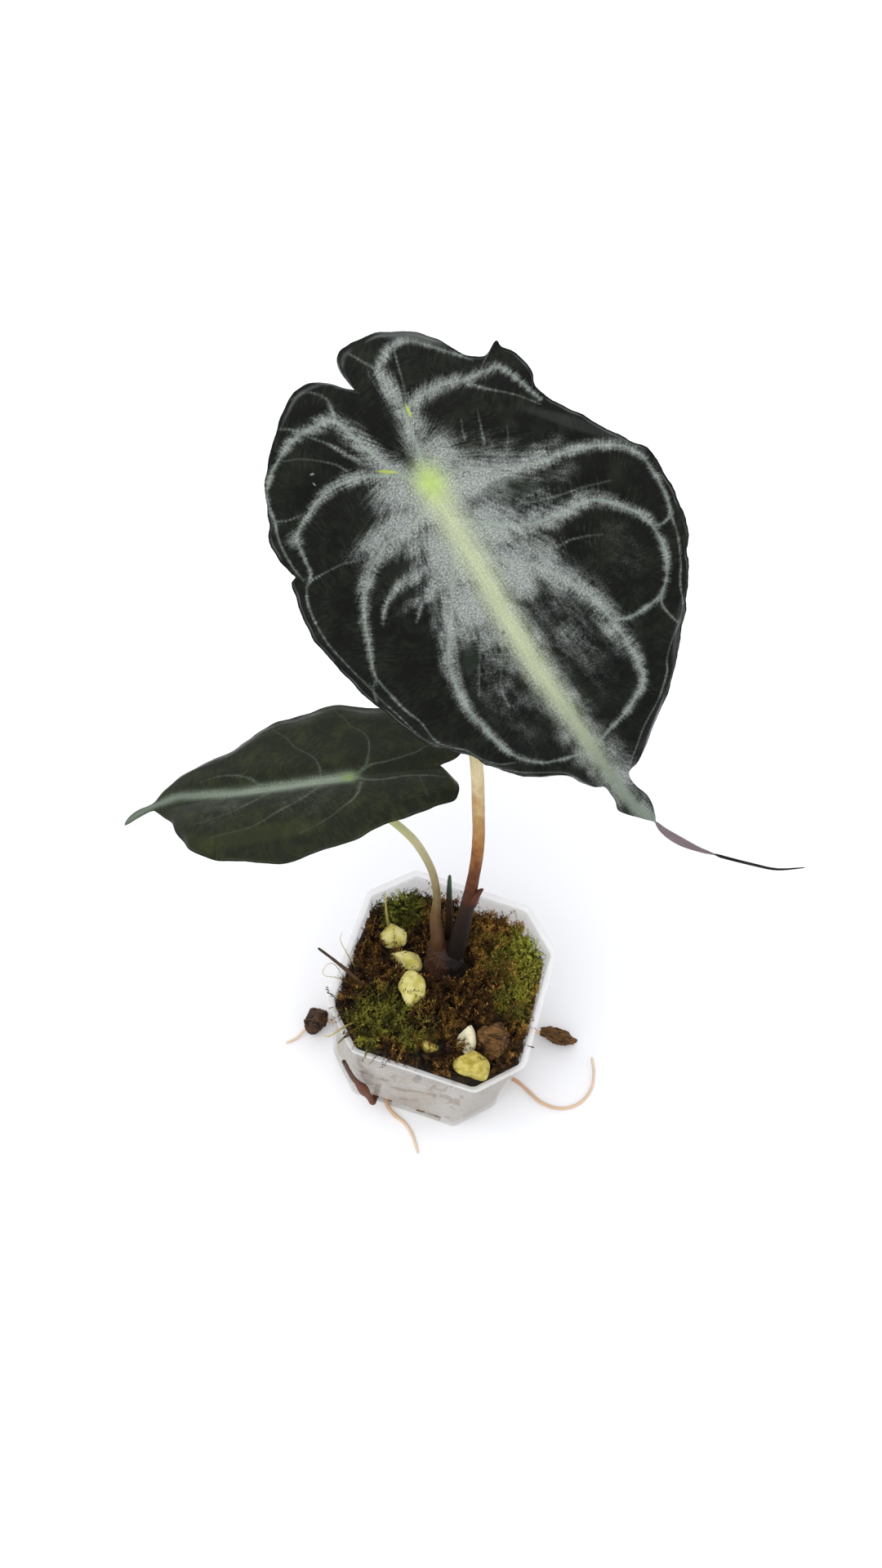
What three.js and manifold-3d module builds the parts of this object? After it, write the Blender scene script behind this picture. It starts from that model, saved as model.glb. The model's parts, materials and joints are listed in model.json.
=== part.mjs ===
// A young dark-leaved alocasia in a small clear square pot filled with moss.
// Millimetres, +Z up. The origin is the middle of the pot's underside, the front is -Y.

import * as THREE from 'three';
import { ParametricGeometry } from 'three/addons/geometries/ParametricGeometry.js';
import { mergeVertices } from 'three/addons/utils/BufferGeometryUtils.js';
import Module from 'manifold-3d';

const wasm = await Module();
wasm.setup();

// Pot: half widths across the flats, corner cut as a share of the half width
const POT_HEIGHT = 52;
const POT_RIM_HALF = 30;
const POT_BASE_HALF = 27.8;
const POT_CORNER_CUT = 0.39;
const POT_WALL = 0.8;
const POT_FLOOR = 1;
const POT_LIP_WIDTH = 0.9;
const POT_LIP_HEIGHT = 1.2;
const SLOT_WIDTH = 7;
const SLOT_HEIGHT = 6;
const SLOT_FOOT = 1.6;
const SLOT_OFFSET = 8;
const SLOT_DEPTH = 6;

// Moss: height of its middle, how far it falls from front to back, size of its bumps
const MOSS_MIDDLE = 46;
const MOSS_SLOPE = 0.17;
const MOSS_BUMP = 0.8;

// Clear gap between pieces that touch
const GAP = 0.32;

// Stem foot: radius and height from the bottom up, wider along X than along Y, leaning back
const STEM_FOOT = 35;
const STEM_TOP = 55.4;
const STEM_PROFILE = [
  [3.4, STEM_FOOT], [4.6, 39], [5.1, 44], [4.7, 45.2],
  [5, 48], [4.5, 49.4], [4.6, 52.5], [4, STEM_TOP],
];
const STEM_WIDENING = 1.25;
const STEM_MIDDLE = { x: -0.9, y: 4.4, z: 46 };
const STEM_LEAN = { x: -0.1, y: 0.3 };

// Stalks and leaves; the sheath's lip stands off the big stalk
const SHEATH_LIP = { radius: 1.1, height: 5, tilt: 0.35, at: [2.5, 13.2, 86.5] };
const MAIN_PETIOLE_RADIUS = 1.9;
const SMALL_PETIOLE_RADIUS = 1.15;
const LEAF_THICKNESS = 0.6;
const RIBBON_THICKNESS = 0.42;

const MAIN_ATTACH = new THREE.Vector3(-31.1, 42, 202.5);
const MAIN_ALONG = new THREE.Vector3(0.751, -0.352, -0.559).normalize();
const MAIN_ACROSS = new THREE.Vector3(0.632, 0.628, 0.454).normalize();
const SMALL_ATTACH = new THREE.Vector3(-36.4, 13.5, 124.9);
const SMALL_ALONG = new THREE.Vector3(-0.909, -0.359, -0.21).normalize();
const SMALL_ACROSS = new THREE.Vector3(0.297, -0.914, 0.275).normalize();

// Leaf outlines as ribs from the sinus to the tip, in the flat leaf's own plane. Each row is
// the left margin, the midrib and the right margin: x across and y towards the tip, with the
// stalk at 0, 0.
const MAIN_RIBS = [
  [-2.5, -23, -2.5, -23, -2.5, -23],
  [-4.2, -24.7, -2, -21.8, -2.8, -25],
  [-5.5, -26.4, -1.7, -20.4, -2.9, -27.5],
  [-7.3, -28, -1.5, -19, -2.2, -29.6],
  [-9.4, -29.1, -1.4, -17.3, -0.6, -30.7],
  [-11.8, -29.4, -1.3, -15.5, 1.4, -30.8],
  [-14.2, -28.9, -1.2, -13.7, 3.9, -30.3],
  [-17, -27.3, -1, -11.8, 6.6, -29.7],
  [-20.3, -25, -0.8, -9.8, 9.9, -28],
  [-23.5, -22.6, -0.6, -8, 13.4, -25.6],
  [-26.4, -19.9, -0.5, -6.3, 15.9, -22.8],
  [-28.7, -17.2, -0.3, -4.8, 17.9, -19.5],
  [-30.4, -14.2, -0.2, -3.5, 20, -15.9],
  [-32.1, -11.3, -0.1, -2.3, 22.9, -14],
  [-33.8, -9, 0, -1.2, 26.1, -15.1],
  [-34.6, -5.9, 0, 0, 26.7, -13.5],
  [-34.6, -2.5, 0, 1.5, 28.4, -10.2],
  [-35, 0.2, -0.1, 3, 28.9, -6.6],
  [-36.1, 3, -0.2, 5, 28, -4],
  [-37.3, 6.6, -0.4, 7.5, 28.8, -0.2],
  [-38.1, 10.3, -0.6, 10, 31, 3.6],
  [-38.4, 14.2, -0.8, 13, 33.2, 7.2],
  [-38, 19, -1.1, 17, 35.5, 11.4],
  [-37.4, 23.7, -1.4, 21, 38, 15.6],
  [-36.6, 28.5, -1.8, 26, 40.6, 19.6],
  [-35.4, 33.5, -2.2, 31, 41.2, 24.5],
  [-33.9, 38.5, -2.4, 36, 40.8, 30],
  [-32.6, 43.2, -2.5, 41, 40.1, 35.5],
  [-30.6, 47.2, -2.6, 46, 38.2, 40.3],
  [-28, 50.2, -2.6, 50.5, 35.8, 44.2],
  [-25.5, 53, -2.5, 55, 33, 48.8],
  [-23.4, 57, -2.4, 59, 30, 53],
  [-20.6, 61.8, -2.3, 63, 26.5, 57.5],
  [-17.3, 65.2, -2.3, 66.5, 22.5, 61.6],
  [-13.2, 67.8, -2.3, 69.5, 18.3, 66],
  [-10.2, 70.2, -2.3, 72, 13.8, 69.9],
  [-8.8, 73.2, -2.2, 74.3, 9.2, 73.3],
  [-7, 75.6, -2.1, 76.3, 5.3, 76.2],
  [-5, 77.3, -2, 78, 2.5, 77],
  [-4.6, 79.3, -1.9, 79.8, 1.1, 78.8],
  [-4.6, 81.7, -1.7, 82, 1.3, 81.5],
  [-5.2, 84, -1.3, 84.3, 2.1, 84.5],
  [-4, 86.4, -1, 87, 2.1, 87.3],
  [-2, 89, -0.3, 89.5, 1.4, 90],
];
// Drip tip: middle line and half width, thinning to a hair
const MAIN_DRIP_TIP = [
  [0.35, 92, 0.5],
  [0.7, 94.5, 0.7],
  [1.5, 97.2, 0.95],
  [2.8, 100.3, 1],
  [4.2, 103, 0.8],
  [6, 106, 0.5],
  [9.5, 111, 0.4],
  [14.3, 117.3, 0.38],
  [18.5, 122.3, 0.3],
  [24.3, 126.3, 0.12],
];
const SMALL_RIBS = [
  [1.7, -22, 1.7, -22, 1.7, -22],
  [0.6, -23.8, 1.3, -20.8, 2.8, -23.6],
  [-1.1, -25.3, 1.1, -19.5, 4.2, -25.9],
  [-3.5, -26.5, 1, -18, 6, -28.1],
  [-6.5, -27.1, 0.9, -16.2, 8.3, -29.4],
  [-9.3, -26.3, 0.7, -14.2, 11, -29.3],
  [-11.3, -23.8, 0.5, -12, 14, -27.6],
  [-12.7, -20.2, 0.4, -9.8, 16.8, -24.6],
  [-14, -15.9, 0.3, -7.6, 19.2, -20.6],
  [-15.8, -10.5, 0.2, -5.4, 21.3, -16],
  [-18, -5.8, 0.1, -3, 23.2, -10.8],
  [-19.7, -1.3, 0, 0, 24.9, -5.2],
  [-21.2, 4.8, 0, 4, 26.4, 0.4],
  [-22.6, 9.4, 0, 8.5, 26.8, 5.6],
  [-23.3, 14, 0, 13, 26, 10.6],
  [-23, 19.4, 0.1, 18, 24.8, 15.8],
  [-21.8, 24.4, 0.3, 23, 23, 21.6],
  [-20.4, 28.9, 0.6, 28, 19.8, 27.4],
  [-18.9, 34, 1, 33, 16.2, 31.8],
  [-15.7, 38.8, 1.7, 37.4, 14.7, 36],
  [-12.3, 41, 2.3, 41, 13.8, 39.9],
  [-8.8, 43.4, 2.7, 44, 11.8, 43.4],
  [-5.2, 44.9, 2.8, 46.6, 9.4, 46.2],
  [-2.4, 47.5, 2.5, 48.8, 7, 48.8],
  [0.6, 50.4, 2, 50.6, 3.8, 50.6],
];
const SMALL_DRIP_TIP = [
  [1.7, 52, 0.6],
  [1.2, 53.6, 0.8],
  [0.4, 55.2, 0.8],
  [-0.7, 56.6, 0.6],
  [-2, 57.6, 0.25],
];

// Middle lines of the stalks, roots and twig
const MAIN_PETIOLE_PATH = [
  [0.7, 6.2, 51],
  [0.9, 7.9, 57.5],
  [0.7, 10.4, 70],
  [0.1, 13.8, 87],
  [-1.2, 17, 104],
  [-3.7, 20.3, 117],
  [-7.8, 23.9, 136],
  [-15.2, 30, 160],
  [-23.8, 37.3, 180],
  [-30.6, 44.4, 193],
  [-32, 45.8, 198.4],
];
const SMALL_PETIOLE_PATH = [
  [-3.9, 6.6, 51],
  [-5, 8, 57.5],
  [-7.3, 10.9, 65],
  [-8.4, 13.1, 74],
  [-10.4, 14.7, 82],
  [-13.5, 15.6, 90],
  [-18.1, 16, 98.5],
  [-24.1, 14.9, 107.5],
  [-30.8, 13.2, 114.8],
  [-34.4, 12.5, 119.2],
];
const NEW_SHOOT_PATH = [
  [-2.3, 9.9, 53],
  [-3.1, 12, 60],
  [-4.6, 14.2, 69],
  [-6, 16, 77],
  [-6.7, 17, 82.5],
];
const ROOT_RIGHT_CURL_PATH = [
  [23, -7.4, 4.4],
  [28, -8, 4.3],
  [32.4, -8.2, 3.2],
  [37, -9.7, 1.5],
  [42.1, -11.6, 0.95],
  [48.1, -11.4, 0.9],
  [53.3, -8.2, 0.9],
  [56.2, -2.5, 0.9],
  [55.9, 3.5, 0.9],
  [54, 8.4, 0.9],
];
const ROOT_RIGHT_SHORT_PATH = [
  [23, 7.6, 4.6],
  [28, 8.2, 4.4],
  [33, 9.4, 3.9],
  [38.5, 10.6, 3.3],
];
const ROOT_FRONT_PATH = [
  [-6.6, -23, 4],
  [-5.8, -28, 3.6],
  [-2.4, -30.4, 1.9],
  [1.4, -31.6, 1],
  [5, -34.4, 0.9],
  [8.6, -39.4, 0.9],
];
const ROOT_CLIMBING_PATH = [
  [-9.6, -23, 4.8],
  [-9.7, -27.8, 5],
  [-9.8, -30.4, 7.6],
  [-11.4, -30.3, 13],
  [-14.2, -30.4, 21],
  [-17.2, -30.9, 31],
  [-20, -31.5, 46],
];
const ROOT_LEFT_PATH = [
  [-23, -7.6, 4.4],
  [-28, -8.2, 4.3],
  [-32.5, -9.2, 4.1],
  [-36.4, -10.8, 3.6],
  [-38.8, -14.2, 2],
  [-40.4, -17, 1],
  [-43, -19.6, 0.9],
];
const TWIG_PATH = [
  [-20.5, -9.6, 47],
  [-24.4, -8.7, 50.6],
  [-28.6, -7.6, 53.1],
  [-33, -6.2, 54],
  [-37.4, -4.9, 54.6],
];

// Loose pieces: centre, half sizes, turn about the upright axis in degrees, seed of the lumps
const GRAINS = {
  grain_back: { at: [-18.7, 9.2, 46.9], half: [4.1, 3.7, 3], turn: 12, seed: 1 },
  grain_middle: { at: [-12.2, 3, 47.8], half: [4.6, 3, 2.8], turn: -8, seed: 2 },
  grain_front: { at: [-7.6, -6, 48.8], half: [3.9, 5, 3], turn: 14, seed: 3 },
  grain_corner: { at: [15.3, -23, 51.9], half: [4.7, 3.7, 4], turn: -12, seed: 4 },
  grain_white: { at: [11.7, -15.4, 50.1], half: [2.6, 4.3, 2.6], turn: 8, seed: 5 },
  grain_small: { at: [2.1, -21.2, 50.6], half: [2.5, 1.6, 1.5], turn: 10, seed: 6 },
};
const CHIPS = {
  bark_chip_top: { at: [19.2, -12.6, 49.6], half: [4, 4.6, 3], turn: -15, seed: 11 },
  bark_chip_right: { at: [41.4, 10.8, 2.9], half: [6.8, 3, 2.5], turn: 6, seed: 12, heldBy: 'root_right_short' },
  bark_chip_left: { at: [-35.8, -10.2, 4], half: [3.6, 4.6, 3.6], turn: 10, seed: 13, heldBy: 'root_left' },
};
const TUFTS = {
  moss_tuft_back: { at: [-18.4, 19.4, 44.6], half: [5, 3.8, 4.4], turn: 0, seed: 21 },
  moss_tuft_right: { at: [22.3, 17.6, 44.8], half: [3.3, 3, 3.6], turn: 0, seed: 22 },
};

const clamp01 = (value) => Math.min(1, Math.max(0, value));

function smoothstep(from, to, value) {
  const t = clamp01((value - from) / (to - from));
  return t * t * (3 - 2 * t);
}

// Six times the volume that the triangles close in, below zero where they face inwards
function signedVolume(position, corners) {
  const [a, b, c] = [new THREE.Vector3(), new THREE.Vector3(), new THREE.Vector3()];
  let volume = 0;
  for (let i = 0; i < corners.length; i += 3) {
    a.fromBufferAttribute(position, corners[i]);
    b.fromBufferAttribute(position, corners[i + 1]);
    c.fromBufferAttribute(position, corners[i + 2]);
    volume += a.dot(b.cross(c));
  }
  return volume;
}

// Closed mesh with shared corners and no collapsed triangles, its faces turned outwards
function closeUp(geometry) {
  const bare = new THREE.BufferGeometry();
  bare.setAttribute('position', geometry.getAttribute('position').clone());
  bare.setIndex(geometry.getIndex());
  const merged = mergeVertices(bare, 1e-4);
  const corners = merged.getIndex().array;
  const kept = [];
  for (let i = 0; i < corners.length; i += 3) {
    const [a, b, c] = [corners[i], corners[i + 1], corners[i + 2]];
    if (a !== b && b !== c && c !== a) kept.push(a, b, c);
  }
  if (signedVolume(merged.getAttribute('position'), kept) < 0) kept.reverse();
  merged.setIndex(kept);
  return merged;
}

function toSolid(geometry) {
  const closed = closeUp(geometry);
  const vertProperties = new Float32Array(closed.getAttribute('position').array);
  const triVerts = new Uint32Array(closed.getIndex().array);
  return new wasm.Manifold(new wasm.Mesh({ numProp: 3, vertProperties, triVerts }));
}

function toGeometry(solid) {
  const mesh = solid.getMesh();
  const geometry = new THREE.BufferGeometry();
  geometry.setAttribute('position', new THREE.BufferAttribute(new Float32Array(mesh.vertProperties), 3));
  geometry.setIndex(new THREE.BufferAttribute(new Uint32Array(mesh.triVerts), 1));
  return geometry;
}

function cutFrom(geometry, cutters) {
  let solid = toSolid(geometry);
  for (const cutter of cutters) solid = solid.subtract(toSolid(cutter));
  return toGeometry(solid);
}

// Square with cut, slightly rounded corners, as a ring of 32 points
function cutSquare(half) {
  const cut = half * POT_CORNER_CUT;
  const inner = half - cut;
  const corners = [
    [inner, -half], [half, -inner], [half, inner], [inner, half],
    [-inner, half], [-half, inner], [-half, -inner], [-inner, -half],
  ].map(([x, y]) => new THREE.Vector2(x, y));
  const round = half * 0.07;
  const ring = [];
  corners.forEach((corner, i) => {
    const before = corners[(i + 7) % 8];
    const after = corners[(i + 1) % 8];
    const enter = corner.clone().add(before.clone().sub(corner).setLength(round));
    const leave = corner.clone().add(after.clone().sub(corner).setLength(round));
    const curve = new THREE.QuadraticBezierCurve(enter, corner, leave);
    ring.push(curve.getPoint(0), curve.getPoint(0.5), curve.getPoint(1));
    const nextEnter = after.clone().add(corner.clone().sub(after).setLength(round));
    ring.push(leave.clone().lerp(nextEnter, 0.5));
  });
  return ring;
}

const RING_COUNT = cutSquare(1).length;

// Skin through a list of rings, each an array of RING_COUNT points; end rings may be one point
function skin(rings) {
  const surface = (u, v, target) => {
    const ring = rings[Math.round(v * (rings.length - 1))];
    target.copy(ring[Math.round(u * RING_COUNT) % RING_COUNT]);
  };
  return new ParametricGeometry(surface, RING_COUNT, rings.length - 1);
}

const ringAt = (half, z) => cutSquare(half).map((p) => new THREE.Vector3(p.x, p.y, z));
const pointRing = (z) => Array.from({ length: RING_COUNT }, () => new THREE.Vector3(0, 0, z));

// Half width of the wall's outer face at a height
function wallHalf(z) {
  const top = POT_RIM_HALF - POT_LIP_WIDTH;
  return POT_BASE_HALF + ((top - POT_BASE_HALF) * z) / POT_HEIGHT;
}

function pot() {
  const lipFoot = POT_HEIGHT - POT_LIP_HEIGHT;
  const profile = [
    [POT_BASE_HALF - 0.7, 0],
    [wallHalf(0.7), 0.7],
    [wallHalf(18), 18],
    [wallHalf(36), 36],
    [wallHalf(lipFoot), lipFoot - 0.4],
    [POT_RIM_HALF, lipFoot],
    [POT_RIM_HALF, POT_HEIGHT - 0.2],
    [POT_RIM_HALF - 0.3, POT_HEIGHT],
    [wallHalf(POT_HEIGHT) - POT_WALL, POT_HEIGHT],
    [wallHalf(36) - POT_WALL, 36],
    [wallHalf(18) - POT_WALL, 18],
    [wallHalf(1.6) - POT_WALL, 1.6],
    [wallHalf(1) - POT_WALL - 0.6, POT_FLOOR],
  ];
  const rings = [pointRing(0), ...profile.map(([half, z]) => ringAt(half, z)), pointRing(POT_FLOOR)];
  const slots = [];
  for (let side = 0; side < 4; side += 1) {
    for (const offset of [-SLOT_OFFSET, SLOT_OFFSET]) {
      const slot = new THREE.BoxGeometry(SLOT_DEPTH, SLOT_WIDTH, SLOT_HEIGHT);
      slot.translate(POT_BASE_HALF, offset, SLOT_FOOT + SLOT_HEIGHT / 2);
      slot.rotateZ((side * Math.PI) / 2);
      slots.push(slot);
    }
  }
  return cutFrom(skin(rings), slots);
}

function mossHeight(x, y) {
  const bumps = Math.sin(x * 0.55 + 1.3) * Math.cos(y * 0.47) + 0.6 * Math.sin(x * 0.31 - y * 0.62);
  const edge = smoothstep(19, 29, Math.hypot(x, y));
  return MOSS_MIDDLE - MOSS_SLOPE * y + MOSS_BUMP * bumps - 0.8 * edge;
}

function mossPlug(cutters) {
  const clearHalf = (z) => wallHalf(z) - POT_WALL - GAP;
  const reference = clearHalf(MOSS_MIDDLE);
  const topRings = [0.14, 0.28, 0.42, 0.56, 0.7, 0.84, 0.97, 1].map((share, i, all) =>
    cutSquare(reference * share).map((p) => {
      const shoulder = i === all.length - 1 ? 1.2 : 0;
      const z = mossHeight(p.x, p.y) - shoulder;
      const fit = i === all.length - 1 ? clearHalf(z) / reference : 1;
      return new THREE.Vector3(p.x * fit, p.y * fit, z);
    }));
  const foot = POT_FLOOR + GAP;
  const rings = [
    pointRing(foot),
    ringAt(clearHalf(foot) - 1.2, foot),
    ringAt(clearHalf(foot + 1), foot + 1),
    ringAt(clearHalf(18), 18),
    ringAt(clearHalf(34), 34),
    ...topRings.reverse(),
    pointRing(mossHeight(0, 0)),
  ];
  return cutFrom(skin(rings), cutters);
}

// Round bar along a path whose radius follows radiusAt(share of the length)
function taperedBar(path, radiusAt, steps, sides) {
  const curve = new THREE.CatmullRomCurve3(path.map((p) => new THREE.Vector3(...p)), false, 'centripetal');
  const section = new THREE.Shape();
  for (let i = 0; i < sides; i += 1) {
    const angle = (i * 2 * Math.PI) / sides;
    if (i === 0) section.moveTo(Math.cos(angle), Math.sin(angle));
    else section.lineTo(Math.cos(angle), Math.sin(angle));
  }
  const bar = new THREE.ExtrudeGeometry(section, { steps, extrudePath: curve, bevelEnabled: false });
  const middles = curve.getSpacedPoints(steps);
  const tangents = middles.map((_, i) => curve.getTangentAt(i / steps));
  const position = bar.getAttribute('position');
  const corner = new THREE.Vector3();
  const offset = new THREE.Vector3();
  for (let i = 0; i < position.count; i += 1) {
    corner.fromBufferAttribute(position, i);
    let best = 0;
    let bestError = Infinity;
    middles.forEach((middle, step) => {
      offset.subVectors(corner, middle);
      const error = Math.abs(offset.length() - 1) + Math.abs(offset.dot(tangents[step]));
      if (error < bestError) {
        best = step;
        bestError = error;
      }
    });
    offset.subVectors(corner, middles[best]).multiplyScalar(radiusAt(best / steps));
    corner.addVectors(middles[best], offset);
    position.setXYZ(i, corner.x, corner.y, corner.z);
  }
  return bar;
}

// Lump with a few soft bulges
function lump({ at, half, turn, seed }, grow = 0, roughness = 0.08) {
  const geometry = new THREE.IcosahedronGeometry(1, 2);
  const position = geometry.getAttribute('position');
  const corner = new THREE.Vector3();
  for (let i = 0; i < position.count; i += 1) {
    corner.fromBufferAttribute(position, i);
    const { x, y, z } = corner;
    const wave = Math.sin(3 * x + seed) * Math.cos(2.6 * y - seed) + Math.sin(3.3 * z + 2 * seed) * 0.7;
    const bulge = 1 + roughness * wave;
    corner.set(x * (half[0] * bulge + grow), y * (half[1] * bulge + grow), z * (half[2] * bulge + grow));
    position.setXYZ(i, corner.x, corner.y, corner.z);
  }
  geometry.rotateZ(THREE.MathUtils.degToRad(turn));
  geometry.translate(...at);
  return geometry;
}

function stemBase(grow = 0) {
  const wall = STEM_PROFILE.map(([radius, z]) => new THREE.Vector2(radius + grow, z));
  wall[0].y -= grow;
  wall[wall.length - 1].y += grow;
  const foot = new THREE.Vector2(0, STEM_FOOT - grow);
  const top = new THREE.Vector2(0, STEM_TOP + grow);
  const geometry = new THREE.LatheGeometry([foot, ...wall, top], 20);
  geometry.rotateX(Math.PI / 2);
  const position = geometry.getAttribute('position');
  for (let i = 0; i < position.count; i += 1) {
    const z = position.getZ(i);
    const rise = z - STEM_MIDDLE.z;
    const x = position.getX(i) * STEM_WIDENING + STEM_MIDDLE.x + STEM_LEAN.x * rise;
    const y = position.getY(i) + STEM_MIDDLE.y + STEM_LEAN.y * rise;
    position.setXYZ(i, x, y, z);
  }
  return geometry;
}

// A leaf blade: ribs and drip tip in the plane, bent by lift(x, y, share across, station)
function leaf({ ribs, dripTip, attach, along, across, lift, stations, sides }, thickness) {
  const left = ribs.map((r) => new THREE.Vector3(r[0], r[1], 0));
  const middle = ribs.map((r) => new THREE.Vector3(r[2], r[3], 0));
  const right = ribs.map((r) => new THREE.Vector3(r[4], r[5], 0));
  const widths = ribs.map(() => 1);
  dripTip.forEach(([x, y, halfWidth], i) => {
    const next = dripTip[Math.min(i + 1, dripTip.length - 1)];
    const last = dripTip[Math.max(i - 1, 0)];
    const way = new THREE.Vector2(next[0] - last[0], next[1] - last[1]).normalize();
    left.push(new THREE.Vector3(x - way.y * halfWidth, y + way.x * halfWidth, 0));
    middle.push(new THREE.Vector3(x, y, 0));
    right.push(new THREE.Vector3(x + way.y * halfWidth, y - way.x * halfWidth, 0));
    widths.push(RIBBON_THICKNESS / LEAF_THICKNESS);
  });
  const end = middle[middle.length - 1].clone().add(new THREE.Vector3(0.4, 0.3, 0));
  left.push(end.clone());
  middle.push(end.clone());
  right.push(end.clone());
  widths.push(0.6);
  const curves = [left, middle, right].map((p) => new THREE.CatmullRomCurve3(p, false, 'catmullrom', 0.5));
  const outward = new THREE.Vector3().crossVectors(across, along).normalize();
  if (outward.z < 0) outward.negate();
  const surface = (u, v, target) => {
    const top = u <= 0.5;
    const pointed = v === 0 || v === 1;
    const share = pointed ? 0 : (top ? 4 * u - 1 : 3 - 4 * u);
    const rib = curves.map((curve) => curve.getPoint(v));
    const flat = rib[1].clone().lerp(share < 0 ? rib[0] : rib[2], Math.abs(share));
    const row = v * (widths.length - 1);
    const below = Math.min(Math.floor(row), widths.length - 2);
    const body = THREE.MathUtils.lerp(widths[below], widths[below + 1], row - below);
    const lens = pointed ? 0 : Math.sqrt(Math.max(0, 1 - share ** 4));
    const depth = lift(flat.x, flat.y, share, row) + (top ? 0.5 : -0.5) * thickness * body * lens;
    target.copy(attach).addScaledVector(across, flat.x).addScaledVector(along, flat.y);
    target.addScaledVector(outward, depth);
  };
  return new ParametricGeometry(surface, sides, stations);
}

// Height of the big leaf over its plane: it hangs towards the tip and the lobes fold back
function mainLift(x, y, share, row) {
  const reach = Math.abs(x);
  const hang = y > 0 ? -8 * (y / 85) ** 2 : -3 * (y / 32) ** 2;
  const trough = 2 * Math.sin((clamp01(reach / 15) * Math.PI) / 2);
  const arch = -(6 * Math.max(0, reach - 10) ** 2) / 1156;
  const body = clamp01(1 - Math.max(0, y) / 90);
  const margin = smoothstep(0.6, 1, Math.abs(share));
  const foldBack = share > 0 ? 4.5 * Math.exp(-(((row - 12.5) / 5.5) ** 2)) : 0;
  const blade = 1 - smoothstep(36, 42, row);
  const ripple = 0.5 * Math.sin(row * 1.9 + (share > 0 ? 1 : 0)) * smoothstep(0.8, 1, Math.abs(share));
  return hang + (trough + arch) * body - blade * (margin * (1 + foldBack) - ripple);
}

// Height of the small leaf over its plane: its front half arches down, its back half stays up
function smallLift(x, y, share, row) {
  const reach = Math.abs(x);
  const hang = y > 0 ? -4 * (y / 57) ** 2 : -1.5 * (y / 26) ** 2;
  const trough = 0.9 * Math.sin((clamp01(reach / 8) * Math.PI) / 2);
  const spread = Math.max(0, reach - 8) ** 2;
  const arch = x > 0 ? (-2.4 * spread) / 324 : (1.2 * spread) / 400;
  const margin = smoothstep(0.75, 1, Math.abs(share));
  const blade = 1 - smoothstep(20, 24, row);
  const ripple = 0.35 * Math.sin(row * 2.1) * margin;
  return hang + blade * (trough + arch - 0.8 * margin + ripple);
}

const MAIN_LEAF = {
  ribs: MAIN_RIBS,
  dripTip: MAIN_DRIP_TIP,
  attach: MAIN_ATTACH,
  along: MAIN_ALONG,
  across: MAIN_ACROSS,
  lift: mainLift,
  stations: 72,
  sides: 20,
};
const SMALL_LEAF = {
  ribs: SMALL_RIBS.map(([lx, ly, mx, my, rx, ry]) => [-rx, ry, -mx, my, -lx, ly]),
  dripTip: SMALL_DRIP_TIP.map(([x, y, halfWidth]) => [-x, y, halfWidth]),
  attach: SMALL_ATTACH,
  along: SMALL_ALONG,
  across: SMALL_ACROSS,
  lift: smallLift,
  stations: 42,
  sides: 16,
};

// Stalk that turns into the leaf's underside and stops a gap short of it
function petiole(path, radiusAt, { attach, across, along }, steps, sides) {
  const outward = new THREE.Vector3().crossVectors(across, along).normalize();
  if (outward.z < 0) outward.negate();
  const end = attach.clone().addScaledVector(outward, -LEAF_THICKNESS / 2 - GAP);
  const whole = [...path, end.toArray()];
  return cutFrom(taperedBar(whole, radiusAt, steps, sides), [stemBase(GAP)]);
}

function mainPetiole() {
  const radiusAt = (t) => MAIN_PETIOLE_RADIUS * (0.86 + 0.62 * (1 - smoothstep(0, 0.27, t)));
  const stalk = petiole(MAIN_PETIOLE_PATH, radiusAt, MAIN_LEAF, 42, 10);
  const lip = new THREE.ConeGeometry(SHEATH_LIP.radius, SHEATH_LIP.height, 8);
  lip.rotateX(Math.PI / 2);
  lip.rotateY(SHEATH_LIP.tilt);
  lip.translate(...SHEATH_LIP.at);
  return toGeometry(toSolid(stalk).add(toSolid(lip)));
}

function smallPetiole() {
  const radiusAt = (t) => SMALL_PETIOLE_RADIUS * (0.95 + 0.95 * (1 - smoothstep(0.02, 0.35, t)));
  return petiole(SMALL_PETIOLE_PATH, radiusAt, SMALL_LEAF, 32, 8);
}

function newShoot() {
  const bar = taperedBar(NEW_SHOOT_PATH, (t) => 0.2 + 1.05 * (1 - t) ** 0.7, 18, 8);
  return cutFrom(bar, [stemBase(GAP)]);
}

const ROOTS = {
  root_right_curl: { path: ROOT_RIGHT_CURL_PATH, radius: 0.62, steps: 34 },
  root_right_short: { path: ROOT_RIGHT_SHORT_PATH, radius: 0.75, steps: 12 },
  root_front: { path: ROOT_FRONT_PATH, radius: 0.65, steps: 18 },
  root_climbing: { path: ROOT_CLIMBING_PATH, radius: 0.9, steps: 26, swelling: 0.75 },
  root_left: { path: ROOT_LEFT_PATH, radius: 0.6, steps: 20 },
};
// Root that thins towards its end, some with a swelling partway
const root = ({ path, radius, steps, swelling = 0 }, grow = 0) => {
  const radiusAt = (t) => radius * (1.1 - 0.45 * t) + swelling * Math.exp(-(((t - 0.42) / 0.09) ** 2));
  return taperedBar(path, (t) => radiusAt(t) + grow, steps, 8);
};
const twig = (grow = 0) => taperedBar(TWIG_PATH, (t) => 0.75 - 0.45 * t + grow, 14, 8);

const COLOURS = {
  pot: 0xdcdce2,
  moss: 0x4a3218,
  green: 0x6d8a1e,
  stem: 0x3a1d12,
  petiole: 0x8a4a22,
  stalkPale: 0x9c9a62,
  leaf: 0x1c241d,
  grain: 0xc9c06a,
  white: 0xdedbb8,
  bark: 0x3c2413,
  root: 0xc79a72,
  darkRoot: 0x4b2d1c,
};

const plant = new THREE.Group();

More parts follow.
